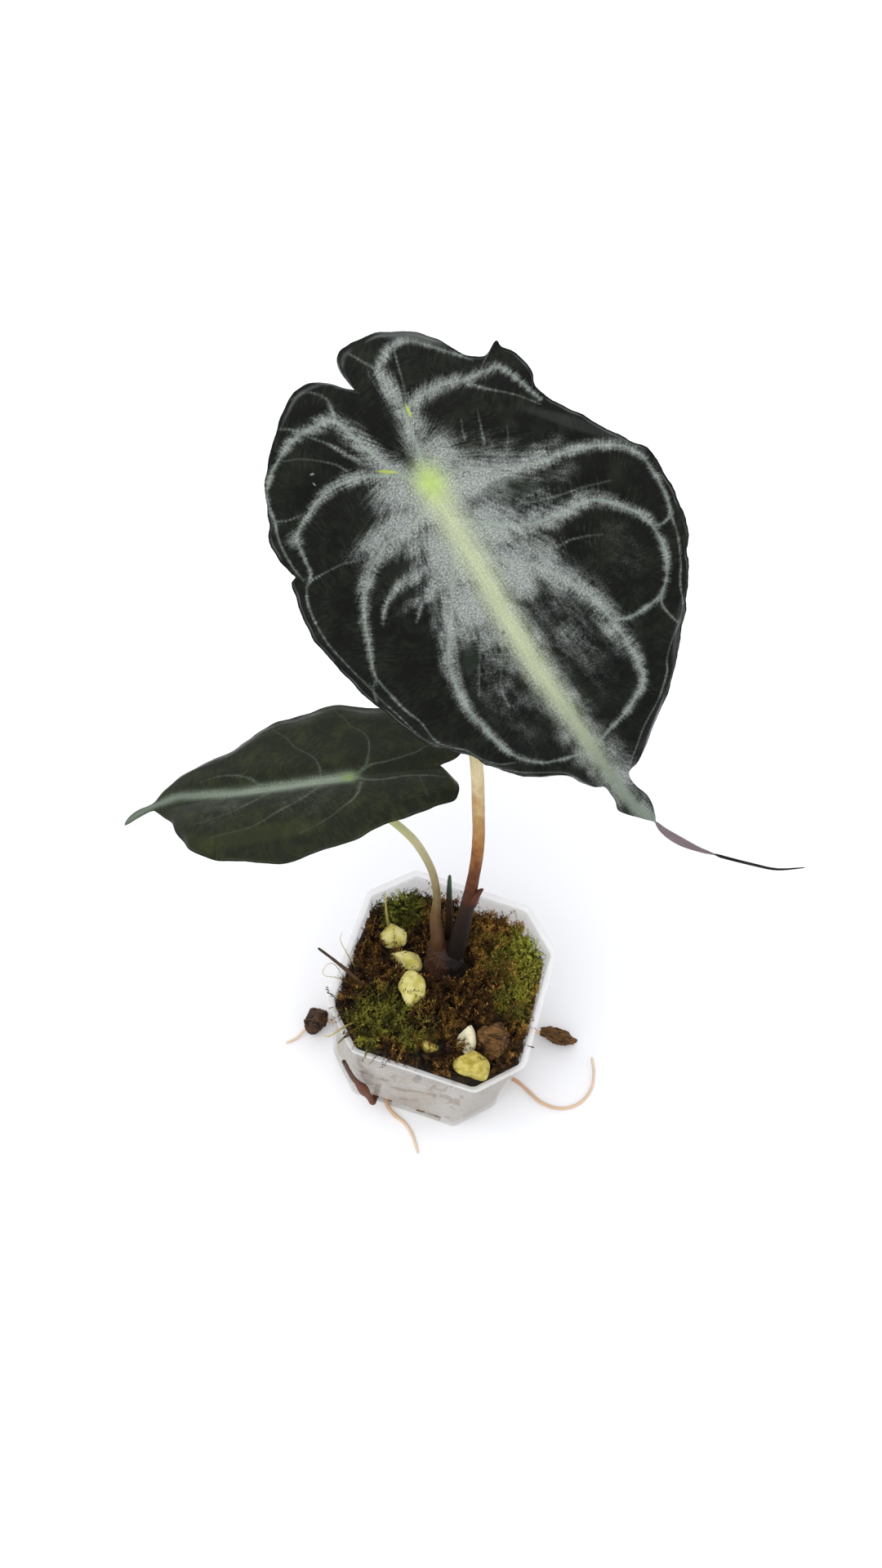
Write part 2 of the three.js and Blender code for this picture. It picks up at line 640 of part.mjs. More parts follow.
function put(name, geometry, colour, roughness, extra = {}) {
  const material = new THREE.MeshStandardMaterial({ color: colour, roughness, metalness: 0, ...extra });
  const mesh = new THREE.Mesh(closeUp(geometry), material);
  mesh.name = name;
  plant.add(mesh);
}

const sunk = [
  stemBase(GAP),
  twig(GAP),
  ...Object.values(ROOTS).map((one) => root(one, GAP)),
  ...Object.values(GRAINS).map((one) => lump(one, GAP)),
  ...Object.values(TUFTS).map((one) => lump(one, GAP, 0.12)),
  lump(CHIPS.bark_chip_top, GAP, 0.12),
];

put('pot', pot(), COLOURS.pot, 0.35, { transparent: true, opacity: 0.5 });
put('moss_plug', mossPlug(sunk), COLOURS.moss, 1);
put('stem_base', stemBase(), COLOURS.stem, 0.8);
put('main_petiole', mainPetiole(), COLOURS.petiole, 0.5);
put('main_leaf', leaf(MAIN_LEAF, LEAF_THICKNESS), COLOURS.leaf, 0.7);
put('small_petiole', smallPetiole(), COLOURS.stalkPale, 0.5);
put('small_leaf', leaf(SMALL_LEAF, LEAF_THICKNESS), COLOURS.leaf, 0.7);
put('new_shoot', newShoot(), COLOURS.green, 0.6);
for (const [name, one] of Object.entries(GRAINS)) {
  put(name, lump(one), name === 'grain_white' ? COLOURS.white : COLOURS.grain, 0.9);
}
for (const [name, one] of Object.entries(CHIPS)) {
  const cutters = one.heldBy ? [root(ROOTS[one.heldBy], GAP)] : [];
  put(name, cutFrom(lump(one, 0, 0.12), cutters), COLOURS.bark, 0.95);
}
for (const [name, one] of Object.entries(ROOTS)) {
  put(name, root(one), name === 'root_climbing' ? COLOURS.darkRoot : COLOURS.root, 0.7);
}
put('twig', twig(), COLOURS.darkRoot, 0.9);
for (const [name, one] of Object.entries(TUFTS)) put(name, lump(one, 0, 0.12), COLOURS.green, 1);

export default plant;
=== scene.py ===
"""A young dark-leaved alocasia in a small clear square pot filled with moss.

Sizes and places are in millimetres, and turn into metres where a mesh is made.
"""

import json
import math

import bmesh
import bpy
import numpy as np
from mathutils import Matrix, Vector
from mathutils.kdtree import KDTree

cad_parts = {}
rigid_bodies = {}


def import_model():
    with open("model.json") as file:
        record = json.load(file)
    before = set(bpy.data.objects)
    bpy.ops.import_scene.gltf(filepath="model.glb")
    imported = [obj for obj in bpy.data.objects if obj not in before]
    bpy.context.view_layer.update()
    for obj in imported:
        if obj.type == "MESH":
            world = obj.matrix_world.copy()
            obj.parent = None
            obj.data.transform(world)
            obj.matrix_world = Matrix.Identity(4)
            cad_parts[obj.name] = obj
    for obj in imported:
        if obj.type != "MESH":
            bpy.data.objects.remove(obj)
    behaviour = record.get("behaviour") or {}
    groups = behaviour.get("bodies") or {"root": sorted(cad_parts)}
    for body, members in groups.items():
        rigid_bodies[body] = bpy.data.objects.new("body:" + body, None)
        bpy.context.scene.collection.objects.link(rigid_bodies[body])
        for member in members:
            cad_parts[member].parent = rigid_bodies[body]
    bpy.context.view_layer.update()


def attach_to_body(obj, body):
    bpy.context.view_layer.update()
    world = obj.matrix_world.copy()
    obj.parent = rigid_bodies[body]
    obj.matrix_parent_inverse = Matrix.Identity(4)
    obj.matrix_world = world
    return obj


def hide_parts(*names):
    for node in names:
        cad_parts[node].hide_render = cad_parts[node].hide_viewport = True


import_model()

MM = 0.001

# Camera: turn, pitch and roll in degrees; the pot's rim centre lies at this pixel and distance
CAMERA_TURN = 7.5
CAMERA_PITCH = 60.3
CAMERA_ROLL = 11.0
FRAME_WIDTH = 1080
FRAME_HEIGHT = 1920
FOCAL_PIXELS = 1443
SENSOR_WIDTH = 36.0
RIM_CENTRE = Vector((0.0, 0.0, 52.0))
RIM_PIXEL = (544, 1195)
RIM_DISTANCE = 350.0

# Floor, surroundings and one soft lamp high above, in metres and watts
FLOOR_HALF = 2.0
SKY_COLOUR = (0.97, 0.98, 1.0, 1.0)
SKY_STRENGTH = 0.95
LAMP_PLACE = Vector((-0.35, -0.25, 1.3))
LAMP_AIM = Vector((0.0, 0.0, 0.1))
LAMP_SIZE = 1.2
LAMP_POWER = 9.0

# Pot: half widths across the flats, corner cut as a share of the half width
POT_HEIGHT = 52.0
POT_RIM_HALF = 30.0
POT_BASE_HALF = 27.8
POT_CORNER_CUT = 0.39
POT_WALL = 0.8
POT_LIP_WIDTH = 0.9
POT_LIP_HEIGHT = 1.2
SLOT_WIDTH = 7.0
SLOT_HEIGHT = 6.0
SLOT_FOOT = 1.6
SLOT_OFFSET = 8.0

# Creases of each side: lowest and highest place of their middles across and up the wall, then
# the range of their lengths and depths, and how far a dent reaches beside and beyond its line
CREASES_PER_SIDE = 7
CREASE_PLACES = ((-18.0, 12.0), (18.0, 44.0))
CREASE_LENGTHS = (7.0, 20.0)
CREASE_DEPTHS = (0.2, 0.5)
CREASE_ASIDE = 1.1
CREASE_BEYOND = 2.0
CREASE_SEED = 8

# Points around the pot in each quarter, of which this many lie along the flat side
QUARTER_POINTS = 48
SIDE_POINTS = 35
RING_POINTS = 4 * QUARTER_POINTS
WALL_RINGS = 52

# Moss: height of its middle, how far it falls from front to back, size of its bumps
MOSS_MIDDLE = 46.0
MOSS_SLOPE = 0.17
MOSS_BUMP = 0.8
MOSS_SEED = 4
MOSS_SIDE_RINGS = 20
MOSS_TOP_RINGS = 62
# Gap between the strands and the wall, and the bare place around the stem: centre and half sizes
STRAND_GAP = 0.15
STEM_GAP = (-0.9, 5.0, 6.5, 6.0)
# Kinds of sprig: length, number of leaflets, their length, and how far the sprig curls over
SPRIGS = [(6, 20, 1.5, 0.35), (4.5, 16, 1.3, 0.6), (7.5, 22, 1.2, 0.8), (5, 12, 1.9, 0.2)]
GREEN_SPRIGS = [(6.5, 24, 1.4, 0.2), (5.5, 20, 1.3, 0.35), (7.5, 26, 1.3, 0.15)]
SPRIG_SEED = 100
# Live green spots: place, size and strength
GREEN_SPOTS = [
    (-18, 19, 8, 0.9), (22, 16, 9, 0.85), (-14, -17, 9, 0.7), (21, 2, 8, 0.55), (4, 20, 6, 0.3),
    (-4, -20, 8, 0.45),
]

# Leaves: places where the stalks join, and the directions along and across each blade
LEAF_THICKNESS = 0.6
RIBBON_THICKNESS = 0.42
MAIN_ATTACH = (-31.1, 42.0, 202.5)
MAIN_ALONG = (0.751, -0.352, -0.559)
MAIN_ACROSS = (0.632, 0.628, 0.454)
SMALL_ATTACH = (-36.4, 13.5, 124.9)
SMALL_ALONG = (-0.909, -0.359, -0.21)
SMALL_ACROSS = (0.297, -0.914, 0.275)
# The upper face of a blade is this much finer than the lower one
FACE_RATIO = 2
# Share of the half width that the lower face covers before it is stitched to the margin
LOWER_SHARE = 0.985
# Steps along the veins, in mm, and what sets each vein's hairs apart from its neighbours'
FINE_VEIN_STEP = 0.2
VEIN_STEP = 0.8
VEIN_SHIFT = 100.0
# Half width from which a vein is pressed into the blade, and haze strength by haze reach
MAIN_VEIN_CORE = 0.22
HAZE_STRENGTH = ([0.1, 0.3, 1.0, 2.5, 5.0], [0.28, 0.44, 0.66, 0.85, 1.05])

# Leaf outlines as ribs from the sinus to the tip, in the flat leaf's own plane: the left margin,
# the midrib and the right margin, x across and y towards the tip, with the stalk at 0, 0
MAIN_RIBS = [
    (-2.5, -23, -2.5, -23, -2.5, -23),
    (-4.2, -24.7, -2, -21.8, -2.8, -25),
    (-5.5, -26.4, -1.7, -20.4, -2.9, -27.5),
    (-7.3, -28, -1.5, -19, -2.2, -29.6),
    (-9.4, -29.1, -1.4, -17.3, -0.6, -30.7),
    (-11.8, -29.4, -1.3, -15.5, 1.4, -30.8),
    (-14.2, -28.9, -1.2, -13.7, 3.9, -30.3),
    (-17, -27.3, -1, -11.8, 6.6, -29.7),
    (-20.3, -25, -0.8, -9.8, 9.9, -28),
    (-23.5, -22.6, -0.6, -8, 13.4, -25.6),
    (-26.4, -19.9, -0.5, -6.3, 15.9, -22.8),
    (-28.7, -17.2, -0.3, -4.8, 17.9, -19.5),
    (-30.4, -14.2, -0.2, -3.5, 20, -15.9),
    (-32.1, -11.3, -0.1, -2.3, 22.9, -14),
    (-33.8, -9, 0, -1.2, 26.1, -15.1),
    (-34.6, -5.9, 0, 0, 26.7, -13.5),
    (-34.6, -2.5, 0, 1.5, 28.4, -10.2),
    (-35, 0.2, -0.1, 3, 28.9, -6.6),
    (-36.1, 3, -0.2, 5, 28, -4),
    (-37.3, 6.6, -0.4, 7.5, 28.8, -0.2),
    (-38.1, 10.3, -0.6, 10, 31, 3.6),
    (-38.4, 14.2, -0.8, 13, 33.2, 7.2),
    (-38, 19, -1.1, 17, 35.5, 11.4),
    (-37.4, 23.7, -1.4, 21, 38, 15.6),
    (-36.6, 28.5, -1.8, 26, 40.6, 19.6),
    (-35.4, 33.5, -2.2, 31, 41.2, 24.5),
    (-33.9, 38.5, -2.4, 36, 40.8, 30),
    (-32.6, 43.2, -2.5, 41, 40.1, 35.5),
    (-30.6, 47.2, -2.6, 46, 38.2, 40.3),
    (-28, 50.2, -2.6, 50.5, 35.8, 44.2),
    (-25.5, 53, -2.5, 55, 33, 48.8),
    (-23.4, 57, -2.4, 59, 30, 53),
    (-20.6, 61.8, -2.3, 63, 26.5, 57.5),
    (-17.3, 65.2, -2.3, 66.5, 22.5, 61.6),
    (-13.2, 67.8, -2.3, 69.5, 18.3, 66),
    (-10.2, 70.2, -2.3, 72, 13.8, 69.9),
    (-8.8, 73.2, -2.2, 74.3, 9.2, 73.3),
    (-7, 75.6, -2.1, 76.3, 5.3, 76.2),
    (-5, 77.3, -2, 78, 2.5, 77),
    (-4.6, 79.3, -1.9, 79.8, 1.1, 78.8),
    (-4.6, 81.7, -1.7, 82, 1.3, 81.5),
    (-5.2, 84, -1.3, 84.3, 2.1, 84.5),
    (-4, 86.4, -1, 87, 2.1, 87.3),
    (-2, 89, -0.3, 89.5, 1.4, 90),
]
# Drip tip: middle line and half width, thinning to a hair
MAIN_DRIP_TIP = [
    (0.35, 92, 0.5),
    (0.7, 94.5, 0.7),
    (1.5, 97.2, 0.95),
    (2.8, 100.3, 1),
    (4.2, 103, 0.8),
    (6, 106, 0.5),
    (9.5, 111, 0.4),
    (14.3, 117.3, 0.38),
    (18.5, 122.3, 0.3),
    (24.3, 126.3, 0.12),
]
# Tears in the left margin: place along the ribs and depth as a share of the half width
MAIN_NICKS = [(17.1, 0.045)]
NICK_FADE = 0.6
SMALL_RIBS = [
    (-1.7, -22, -1.7, -22, -1.7, -22),
    (-2.8, -23.6, -1.3, -20.8, -0.6, -23.8),
    (-4.2, -25.9, -1.1, -19.5, 1.1, -25.3),
    (-6, -28.1, -1, -18, 3.5, -26.5),
    (-8.3, -29.4, -0.9, -16.2, 6.5, -27.1),
    (-11, -29.3, -0.7, -14.2, 9.3, -26.3),
    (-14, -27.6, -0.5, -12, 11.3, -23.8),
    (-16.8, -24.6, -0.4, -9.8, 12.7, -20.2),
    (-19.2, -20.6, -0.3, -7.6, 14, -15.9),
    (-21.3, -16, -0.2, -5.4, 15.8, -10.5),
    (-23.2, -10.8, -0.1, -3, 18, -5.8),
    (-24.9, -5.2, 0, 0, 19.7, -1.3),
    (-26.4, 0.4, 0, 4, 21.2, 4.8),
    (-26.8, 5.6, 0, 8.5, 22.6, 9.4),
    (-26, 10.6, 0, 13, 23.3, 14),
    (-24.8, 15.8, -0.1, 18, 23, 19.4),
    (-23, 21.6, -0.3, 23, 21.8, 24.4),
    (-19.8, 27.4, -0.6, 28, 20.4, 28.9),
    (-16.2, 31.8, -1, 33, 18.9, 34),
    (-14.7, 36, -1.7, 37.4, 15.7, 38.8),
    (-13.8, 39.9, -2.3, 41, 12.3, 41),
    (-11.8, 43.4, -2.7, 44, 8.8, 43.4),
    (-9.4, 46.2, -2.8, 46.6, 5.2, 44.9),
    (-7, 48.8, -2.5, 48.8, 2.4, 47.5),
    (-3.8, 50.6, -2, 50.6, -0.6, 50.4),
]
SMALL_DRIP_TIP = [
    (-1.7, 52, 1.2),
    (-1.2, 53.6, 1.4),
    (-0.4, 55.2, 1.4),
    (0.7, 56.6, 1.1),
    (2, 57.6, 0.5),
]

# Veins in the flat leaf's plane. First the half width of the pale core at the root and at the end,
# then the reach of the silver haze at the root, the middle and the end, then the line.
MAIN_VEINS = [
    ((2.3, 1.2), (6, 3.6, 2.2), [
        (0, 0), (-0.8, 10), (-1.2, 20), (-2.2, 30), (-2.5, 40), (-2.6, 50), (-2.3, 60),
        (-2.3, 70), (-2.2, 76), (-1.9, 82), (-1, 87), (0.2, 91.8)]),
    ((0.3, 0.16), (3.4, 1.45, 0.6), [
        (0.5, 0), (7, 1.5), (14, 6), (20, 8.8), (25.7, 10.3), (31.5, 12.7), (36, 15.8),
        (38.6, 19.5), (39.2, 23.7), (39.2, 27), (38.8, 30.3), (37.8, 33.3)]),
    ((0.1, 0.08), (0.4, 0.32, 0.3), [
        (37.8, 33.3), (36.5, 38.7), (34.4, 43.3), (31.9, 47), (30.3, 51.2), (27.8, 54.1),
        (24.4, 56.2), (21.5, 59.1), (19.8, 62), (15.7, 65.8), (12.3, 67.8), (9, 69.9),
        (5.7, 72.8), (3.2, 74.9)]),
    ((0.35, 0.2), (4.2, 1.55, 0.85), [
        (-0.5, 8), (5, 13), (12, 18), (19, 19.7), (24.8, 21), (28.5, 24), (31, 27.5),
        (32.8, 31), (33.3, 35), (32.7, 39.5), (30.5, 43.8), (27.3, 46.6)]),
    ((0.25, 0.25), (0.9, 0.75, 0.85), [(27.3, 46.6), (23.2, 46.8), (19, 46.4), (16.1, 44.5)]),
    ((0.14, 0.14), (0.5, 0.45, 0.45), [(33.2, 33.5), (35.5, 33.9), (37.8, 33.5)]),
    ((0.14, 0.1), (0.6, 0.4, 0.35), [(27.3, 46.6), (26.5, 48.7), (27.2, 52.8), (28, 54)]),
    ((0.08, 0.06), (0.5, 0.3, 0.25), [(13, 13.4), (15, 14.6), (20, 16.5), (25, 18), (30, 20)]),
    ((0.06, 0.05), (0.5, 0.3, 0.2), [(14, 25), (17, 25.3), (20, 26.4), (23, 28)]),
    ((0.3, 0.2), (5.0, 2.0, 0.6), [
        (-1.8, 14), (3, 20), (7, 24), (10.2, 28), (12.4, 32), (14.2, 36), (15.4, 41), (16, 46),
        (16.2, 51), (16, 56), (14.8, 60.2), (11.5, 62.6), (7.5, 64.5), (3, 65.8), (-1.5, 67.5)]),
    ((0.05, 0.04), (0.3, 0.2, 0.15), [(6.8, 39), (7.7, 42.5), (8.8, 46), (10, 48)]),
    ((0.4, 0.2), (2.9, 1.9, 0.7), [
        (0, 0), (-2.7, -2.2), (-5.2, -7.2), (-6.8, -12.2), (-8.1, -17.2), (-9.3, -20.5),
        (-12.7, -21.7), (-16.8, -22.2), (-21, -21.3), (-25.2, -19.5)]),
    ((0.18, 0.1), (0.8, 0.5, 0.3), [
        (-25.2, -19.5), (-28.5, -16.8), (-30, -13.8), (-30.6, -11.3), (-32.2, -7.2), (-33, -2.2),
        (-32.7, 1.2)]),
    ((0.08, 0.06), (0.8, 0.35, 0.28), [
        (-9.3, -11.3), (-11, -14.3), (-12.7, -17.6), (-15.2, -20.9), (-16.8, -23.4), (-19.5, -25.5)]),
    ((0.08, 0.05), (0.7, 0.35, 0.25), [(-8.5, -21.7), (-8.1, -24.7), (-10.2, -27.6), (-13.5, -28.5)]),
    ((0.05, 0.04), (0.3, 0.2, 0.15), [
        (-12.2, -10.5), (-13.9, -13.8), (-18.5, -18), (-21.8, -19.7)]),
    ((0.3, 0.15), (2.8, 1.25, 0.5), [
        (0, 0), (-6.8, -6.3), (-12.7, -9.3), (-18.5, -10.1), (-23.5, -8.8), (-28, -6.8),
        (-29.3, -4.7), (-29.8, -2.2), (-30.6, 1.2), (-31.8, 2.4)]),
    ((0.1, 0.07), (0.45, 0.28, 0.24), [
        (-31.8, 2.4), (-33.5, 3.7), (-35.2, 7), (-36, 11.2), (-36.3, 15.3), (-36, 19.5),
        (-35.3, 23.7), (-34.5, 28), (-33.8, 33), (-32.8, 38), (-31.8, 43), (-30, 47)]),
    ((0.07, 0.05), (0.4, 0.25, 0.2), [
        (-31.8, 2.4), (-27.7, 2.7), (-23.5, 3.3), (-19.3, 4.9), (-16.8, 5.1)]),
    ((0.08, 0.08), (0.4, 0.3, 0.4), [(-30.6, -11.3), (-28, -10), (-25.2, -9.3)]),
    ((0.3, 0.15), (4.2, 1.75, 0.6), [
        (-1, 2), (-8, 5), (-14.3, 4.9), (-19.3, 7), (-23.5, 10.3), (-26.8, 15.3), (-29.3, 20.3),
        (-31.4, 24.5), (-32.2, 27)]),
    ((0.12, 0.08), (0.5, 0.34, 0.28), [
        (-32.2, 27), (-31.6, 32), (-31, 36.2), (-29.8, 40.3), (-29.6, 45.3), (-28.1, 48.7),
        (-25.6, 51.2), (-23.9, 54.5), (-21.8, 57.8), (-18.5, 59.9)]),
    ((0.1, 0.1), (0.4, 0.4, 0.4), [(-32.2, 27), (-34, 28.5), (-35, 31)]),
    ((0.07, 0.07), (0.28, 0.28, 0.3), [
        (-23.5, 56.2), (-21, 60.3), (-17.2, 63.7), (-13.5, 66.2), (-10.2, 68.7), (-8.5, 72)]),
    ((0.35, 0.15), (4.2, 1.5, 0.5), [
        (-1, 8), (-4, 14), (-7.5, 19), (-11, 24), (-14.2, 27.8), (-16.8, 31.5), (-18.4, 35.5),
        (-19.3, 40), (-19.6, 45), (-19.2, 50), (-18.4, 55), (-16.8, 59.5), (-13.5, 63.2),
        (-9.5, 65.4), (-5.5, 66.8), (-2.5, 69)]),
    ((0.06, 0.05), (0.5, 0.4, 0.5), [(-12.2, 47.8), (-11.4, 43.7), (-9.3, 40.3), (-6.8, 37)]),
    ((0.06, 0.05), (0.4, 0.5, 0.7), [(-16, 42), (-12, 36), (-9, 32)]),
    ((0.04, 0.03), (1.9, 1.1, 0.4), [(-9, 16), (-12, 17.6), (-15, 19), (-18, 21.3)]),
    ((0.04, 0.03), (1.8, 1.2, 0.4), [(-9, 13.5), (-14, 13.2), (-18, 13.6), (-21.5, 15), (-24, 18)]),
    ((0.4, 0.2), (3.2, 2.5, 1.6), [
        (0, 0), (1.1, -4.7), (2.3, -9.7), (3.3, -14.7), (3.6, -19.7), (3.2, -23.8)]),
    ((0.12, 0.08), (0.9, 0.45, 0.3), [(3.2, -23.8), (2.3, -25.5), (0.7, -28.8)]),
    ((0.16, 0.08), (1.4, 0.8, 0.35), [
        (3.2, -23.8), (8.2, -25.5), (11.5, -24.7), (14, -22.2), (16.1, -19.7), (18.6, -16.8),
        (20, -15)]),
    ((0.08, 0.06), (0.4, 0.3, 0.3), [(8.2, -25), (7.3, -22.2), (5.8, -17.6), (4.8, -15)]),
    ((0.25, 0.12), (1.9, 1.3, 0.6), [
        (3.3, -14.3), (7.3, -14.7), (12.3, -14.3), (16.5, -12.6), (19.8, -11.8), (23.2, -10.9),
        (24.8, -8.8), (26.1, -4.7), (27.3, -1.3)]),
    ((0.08, 0.06), (0.7, 0.3, 0.25), [(16.1, -12.2), (19, -8.8), (23.2, -4.7), (26.5, -0.5)]),
    ((0.04, 0.03), (0.5, 0.3, 0.12), [(10.4, -3.5), (10.9, -5), (11.6, -6.4)]),
    ((0.04, 0.03), (0.6, 0.3, 0.12), [(13, -0.5), (14.2, -3.4), (15.2, -6)]),
    ((0.04, 0.03), (0.6, 0.3, 0.12), [(16, 3.4), (17.2, 1.8), (18.4, -0.2)]),
]
# Small marks on the big leaf, some of them painted sheen and painted glints: colour, strength, place, turn
# in degrees, half length, half width
MAIN_MARKS = [
    # Painted sheen along the top lobe's outer margin and along the right margin
    ((118, 122, 118), 0.36, 12.5, -26.5, 45.0, 10.0, 2.6),
    ((90, 95, 91), 0.14, 31.0, 7.5, 50.0, 13.0, 1.3),
    ((38, 48, 38), 0.55, 11.5, 8.3, 12.0, 5.0, 1.5),
    ((34, 42, 34), 0.5, 14.5, 11.5, 20.0, 5.0, 1.3),
    ((22, 26, 20), 0.75, -15.2, 10.2, 5.0, 5.0, 1.1),
    ((24, 28, 22), 0.6, -15.5, 16.4, 25.0, 3.6, 0.8),
    ((36, 44, 36), 0.6, -13.4, 34.5, 125.0, 3.8, 2.0),
    ((18, 22, 17), 0.65, 6.4, 36.8, 0.0, 1.4, 1.2),
    ((20, 24, 19), 0.6, 8.0, 38.6, 0.0, 0.8, 0.8),
    ((20, 24, 19), 0.5, 6.6, 31.3, 30.0, 1.0, 0.5),
    ((24, 28, 22), 0.5, -4.6, 33.9, 0.0, 0.5, 0.5),
    ((12, 14, 10), 0.95, -19.0, -13.8, 60.0, 2.4, 1.5),
    # Painted glints on the dark blotch
    ((150, 156, 148), 0.55, -18.6, -14.6, 20.0, 0.5, 0.25),
    ((150, 156, 148), 0.5, -19.4, -12.8, 80.0, 0.45, 0.2),
    ((170, 184, 76), 0.85, 4.1, -13.8, 100.0, 1.6, 0.36),
    ((170, 184, 76), 0.85, -6.0, -6.6, 38.0, 2.2, 0.36),
]
# Silver patches beside the veins: centre, half sizes and strength
MAIN_PATCHES = [
    (0, 3, 8.5, 7, 1.1),
    (-6, -2, 5, 6, 0.9),
    (-9, 4, 7, 3.5, 0.95),
    (4, -3, 4, 5, 0.9),
    (8, 5, 7, 4.5, 0.95),
    (14, 7.5, 5.5, 2, 0.85),
    (5, 14, 7, 7, 0.95),
    (12, 17.5, 5, 2.2, 0.8),
    (5, 24, 6.5, 6.5, 0.95),
    (-5, 14, 6, 9, 1.0),
    (-11, 13.5, 7, 1.3, 0.7),
    (-11, 18, 6, 1.5, 0.75),
    (-7, 25, 6, 7, 0.95),
    (-6, 34, 4.5, 6, 0.7),
    (-2, 38, 4, 12, 0.7),
    (-2.4, 55, 3.8, 28, 0.72),
    (-1, 76, 4, 10, 0.7),
    (6.5, 40, 6, 14, 0.31),
    (-11, 45, 6, 12, 0.22),
    (17, 13, 9, 3, 0.3),
    (10, 27, 4, 6, 0.8),
    (-12, 26, 3.5, 5, 0.78),
    (-14, 3, 6, 2.3, 0.8),
    (3.6, -11, 2.2, 7, 0.72),
    (-7.2, -11, 2.2, 6, 0.62),
    (18, 7.4, 6, 1.8, 0.8),
    (20, 20, 6, 1.7, 0.7),
    (15.5, 44, 2.6, 8, 0.66),
    (-4, 40, 4, 5, 0.5),
    (24, 33, 8, 8, 0.12),
    (-29.4, -6.2, 1.7, 1.7, 0.55),
]
SMALL_VEINS = [
    ((1.15, 0.9), (2.2, 1.6, 1.4), [
        (0, 0), (0, 15), (-0.3, 25), (-1, 32), (-2, 38), (-3, 45), (-2.3, 50), (-1.2, 53.6),
        (0.7, 56.6), (2, 57.6)]),
    ((0.15, 0.07), (0.6, 0.3, 0.23), [
        (-1.5, -3), (-3.1, -4.5), (-6, -5.2), (-10.3, -5.4), (-13.5, -4.5), (-15.6, -2.7),
        (-17.4, -0.6), (-20.3, 0.9), (-23.1, 3), (-25.3, 4)]),
    ((0.15, 0.07), (0.6, 0.3, 0.23), [
        (0, 6.5), (-1.7, 6.9), (-4.6, 7.3), (-8.1, 9.1), (-12.4, 13.7), (-16, 15.9),
        (-18.9, 18.7), (-19.9, 19.8)]),
    ((0.06, 0.06), (0.2, 0.2, 0.2), [(-19.9, 19.8), (-20.6, 17.6), (-22, 17)]),
    ((0.12, 0.06), (0.7, 0.55, 0.35), [
        (-0.5, 21), (-2.4, 23), (-4.6, 25.9), (-6, 29.4), (-6.7, 33.7), (-6, 38)]),
    ((0.18, 0.07), (0.6, 0.45, 0.3), [
        (0, -2), (-2.8, -5.6), (-3.5, -9.9), (-4.6, -14.1), (-6, -17.7), (-7.1, -19.1), (-9, -24)]),
    ((0.21, 0.07), (0.7, 0.5, 0.3), [
        (0, -2), (1.9, -4.9), (2.6, -9.1), (1.9, -14.1), (2.2, -17), (2.6, -20.6), (3.6, -24.1)]),
    ((0.07, 0.06), (0.3, 0.25, 0.2), [(2.2, -17.5), (5.4, -18.4), (9.4, -19.5)]),
    ((0.15, 0.07), (0.8, 0.35, 0.25), [
        (3, -3.5), (4, -3.1), (6.9, -2.6), (9, -1.3), (11.1, 1.2), (13.3, 3.7), (15.4, 7.3),
        (16.9, 10.9)]),
    ((0.15, 0.07), (0.8, 0.4, 0.25), [
        (1, 6.5), (2.6, 7.6), (5.4, 10.1), (7.6, 13.7), (9.7, 17.3), (11.9, 20.9), (13.3, 24.4),
        (13.6, 28.7), (14, 33)]),
    ((0.12, 0.06), (0.8, 0.45, 0.3), [(1.5, 20), (4.5, 24), (7, 29), (8.3, 34.4), (8.6, 38)]),
]
SMALL_MARKS = [
    # Painted sheen: an olive band along the near margin
    ((62, 70, 36), 0.22, 15.5, 22.0, 90.0, 18.0, 3.0),
    ((30, 33, 24), 0.5, 6.0, 44.0, 100.0, 5.0, 2.0),
]
SMALL_PATCHES = [
    (0, -1, 2.5, 2.5, 0.6),
    (1, 12, 3, 10, 0.4),
    (7, 10, 7, 10, 0.22),
    (5, 32, 6, 8, 0.25),
]
MAIN_TINT = {
    "darkest": (6, 8, 5), "brownish": (38, 41, 31), "vein": (142, 154, 141),
    "silver": (176, 181, 176), "grey": (122, 130, 126), "rib_near": (194, 202, 160),
    "rib_far": (108, 118, 104), "glow": (172, 200, 92),
}
SMALL_TINT = {
    "darkest": (25, 29, 18), "brownish": (54, 58, 32), "vein": (96, 108, 94),
    "silver": (112, 122, 110), "grey": (62, 70, 60), "rib_near": (142, 154, 136),
    "rib_far": (108, 120, 106), "glow": (118, 146, 70),
}

# Middle lines of the stalks, roots and twig
MAIN_PETIOLE_PATH = [
    (0.7, 6.2, 51), (0.9, 7.9, 57.5), (0.7, 10.4, 70), (0.1, 13.8, 87), (-1.2, 17, 104),
    (-3.7, 20.3, 117), (-7.8, 23.9, 136), (-15.2, 30, 160), (-23.8, 37.3, 180),
    (-30.6, 44.4, 193), (-32, 45.8, 198.4),
]
SMALL_PETIOLE_PATH = [
    (-3.9, 6.6, 51), (-5, 8, 57.5), (-7.3, 10.9, 65), (-8.4, 13.1, 74), (-10.4, 14.7, 82),
    (-13.5, 15.6, 90), (-18.1, 16, 98.5), (-24.1, 14.9, 107.5), (-30.8, 13.2, 114.8),
    (-34.4, 12.5, 119.2),
]
NEW_SHOOT_PATH = [(-2.3, 9.9, 53), (-3.1, 12, 60), (-4.6, 14.2, 69), (-6, 16, 77), (-6.7, 17, 82.5)]
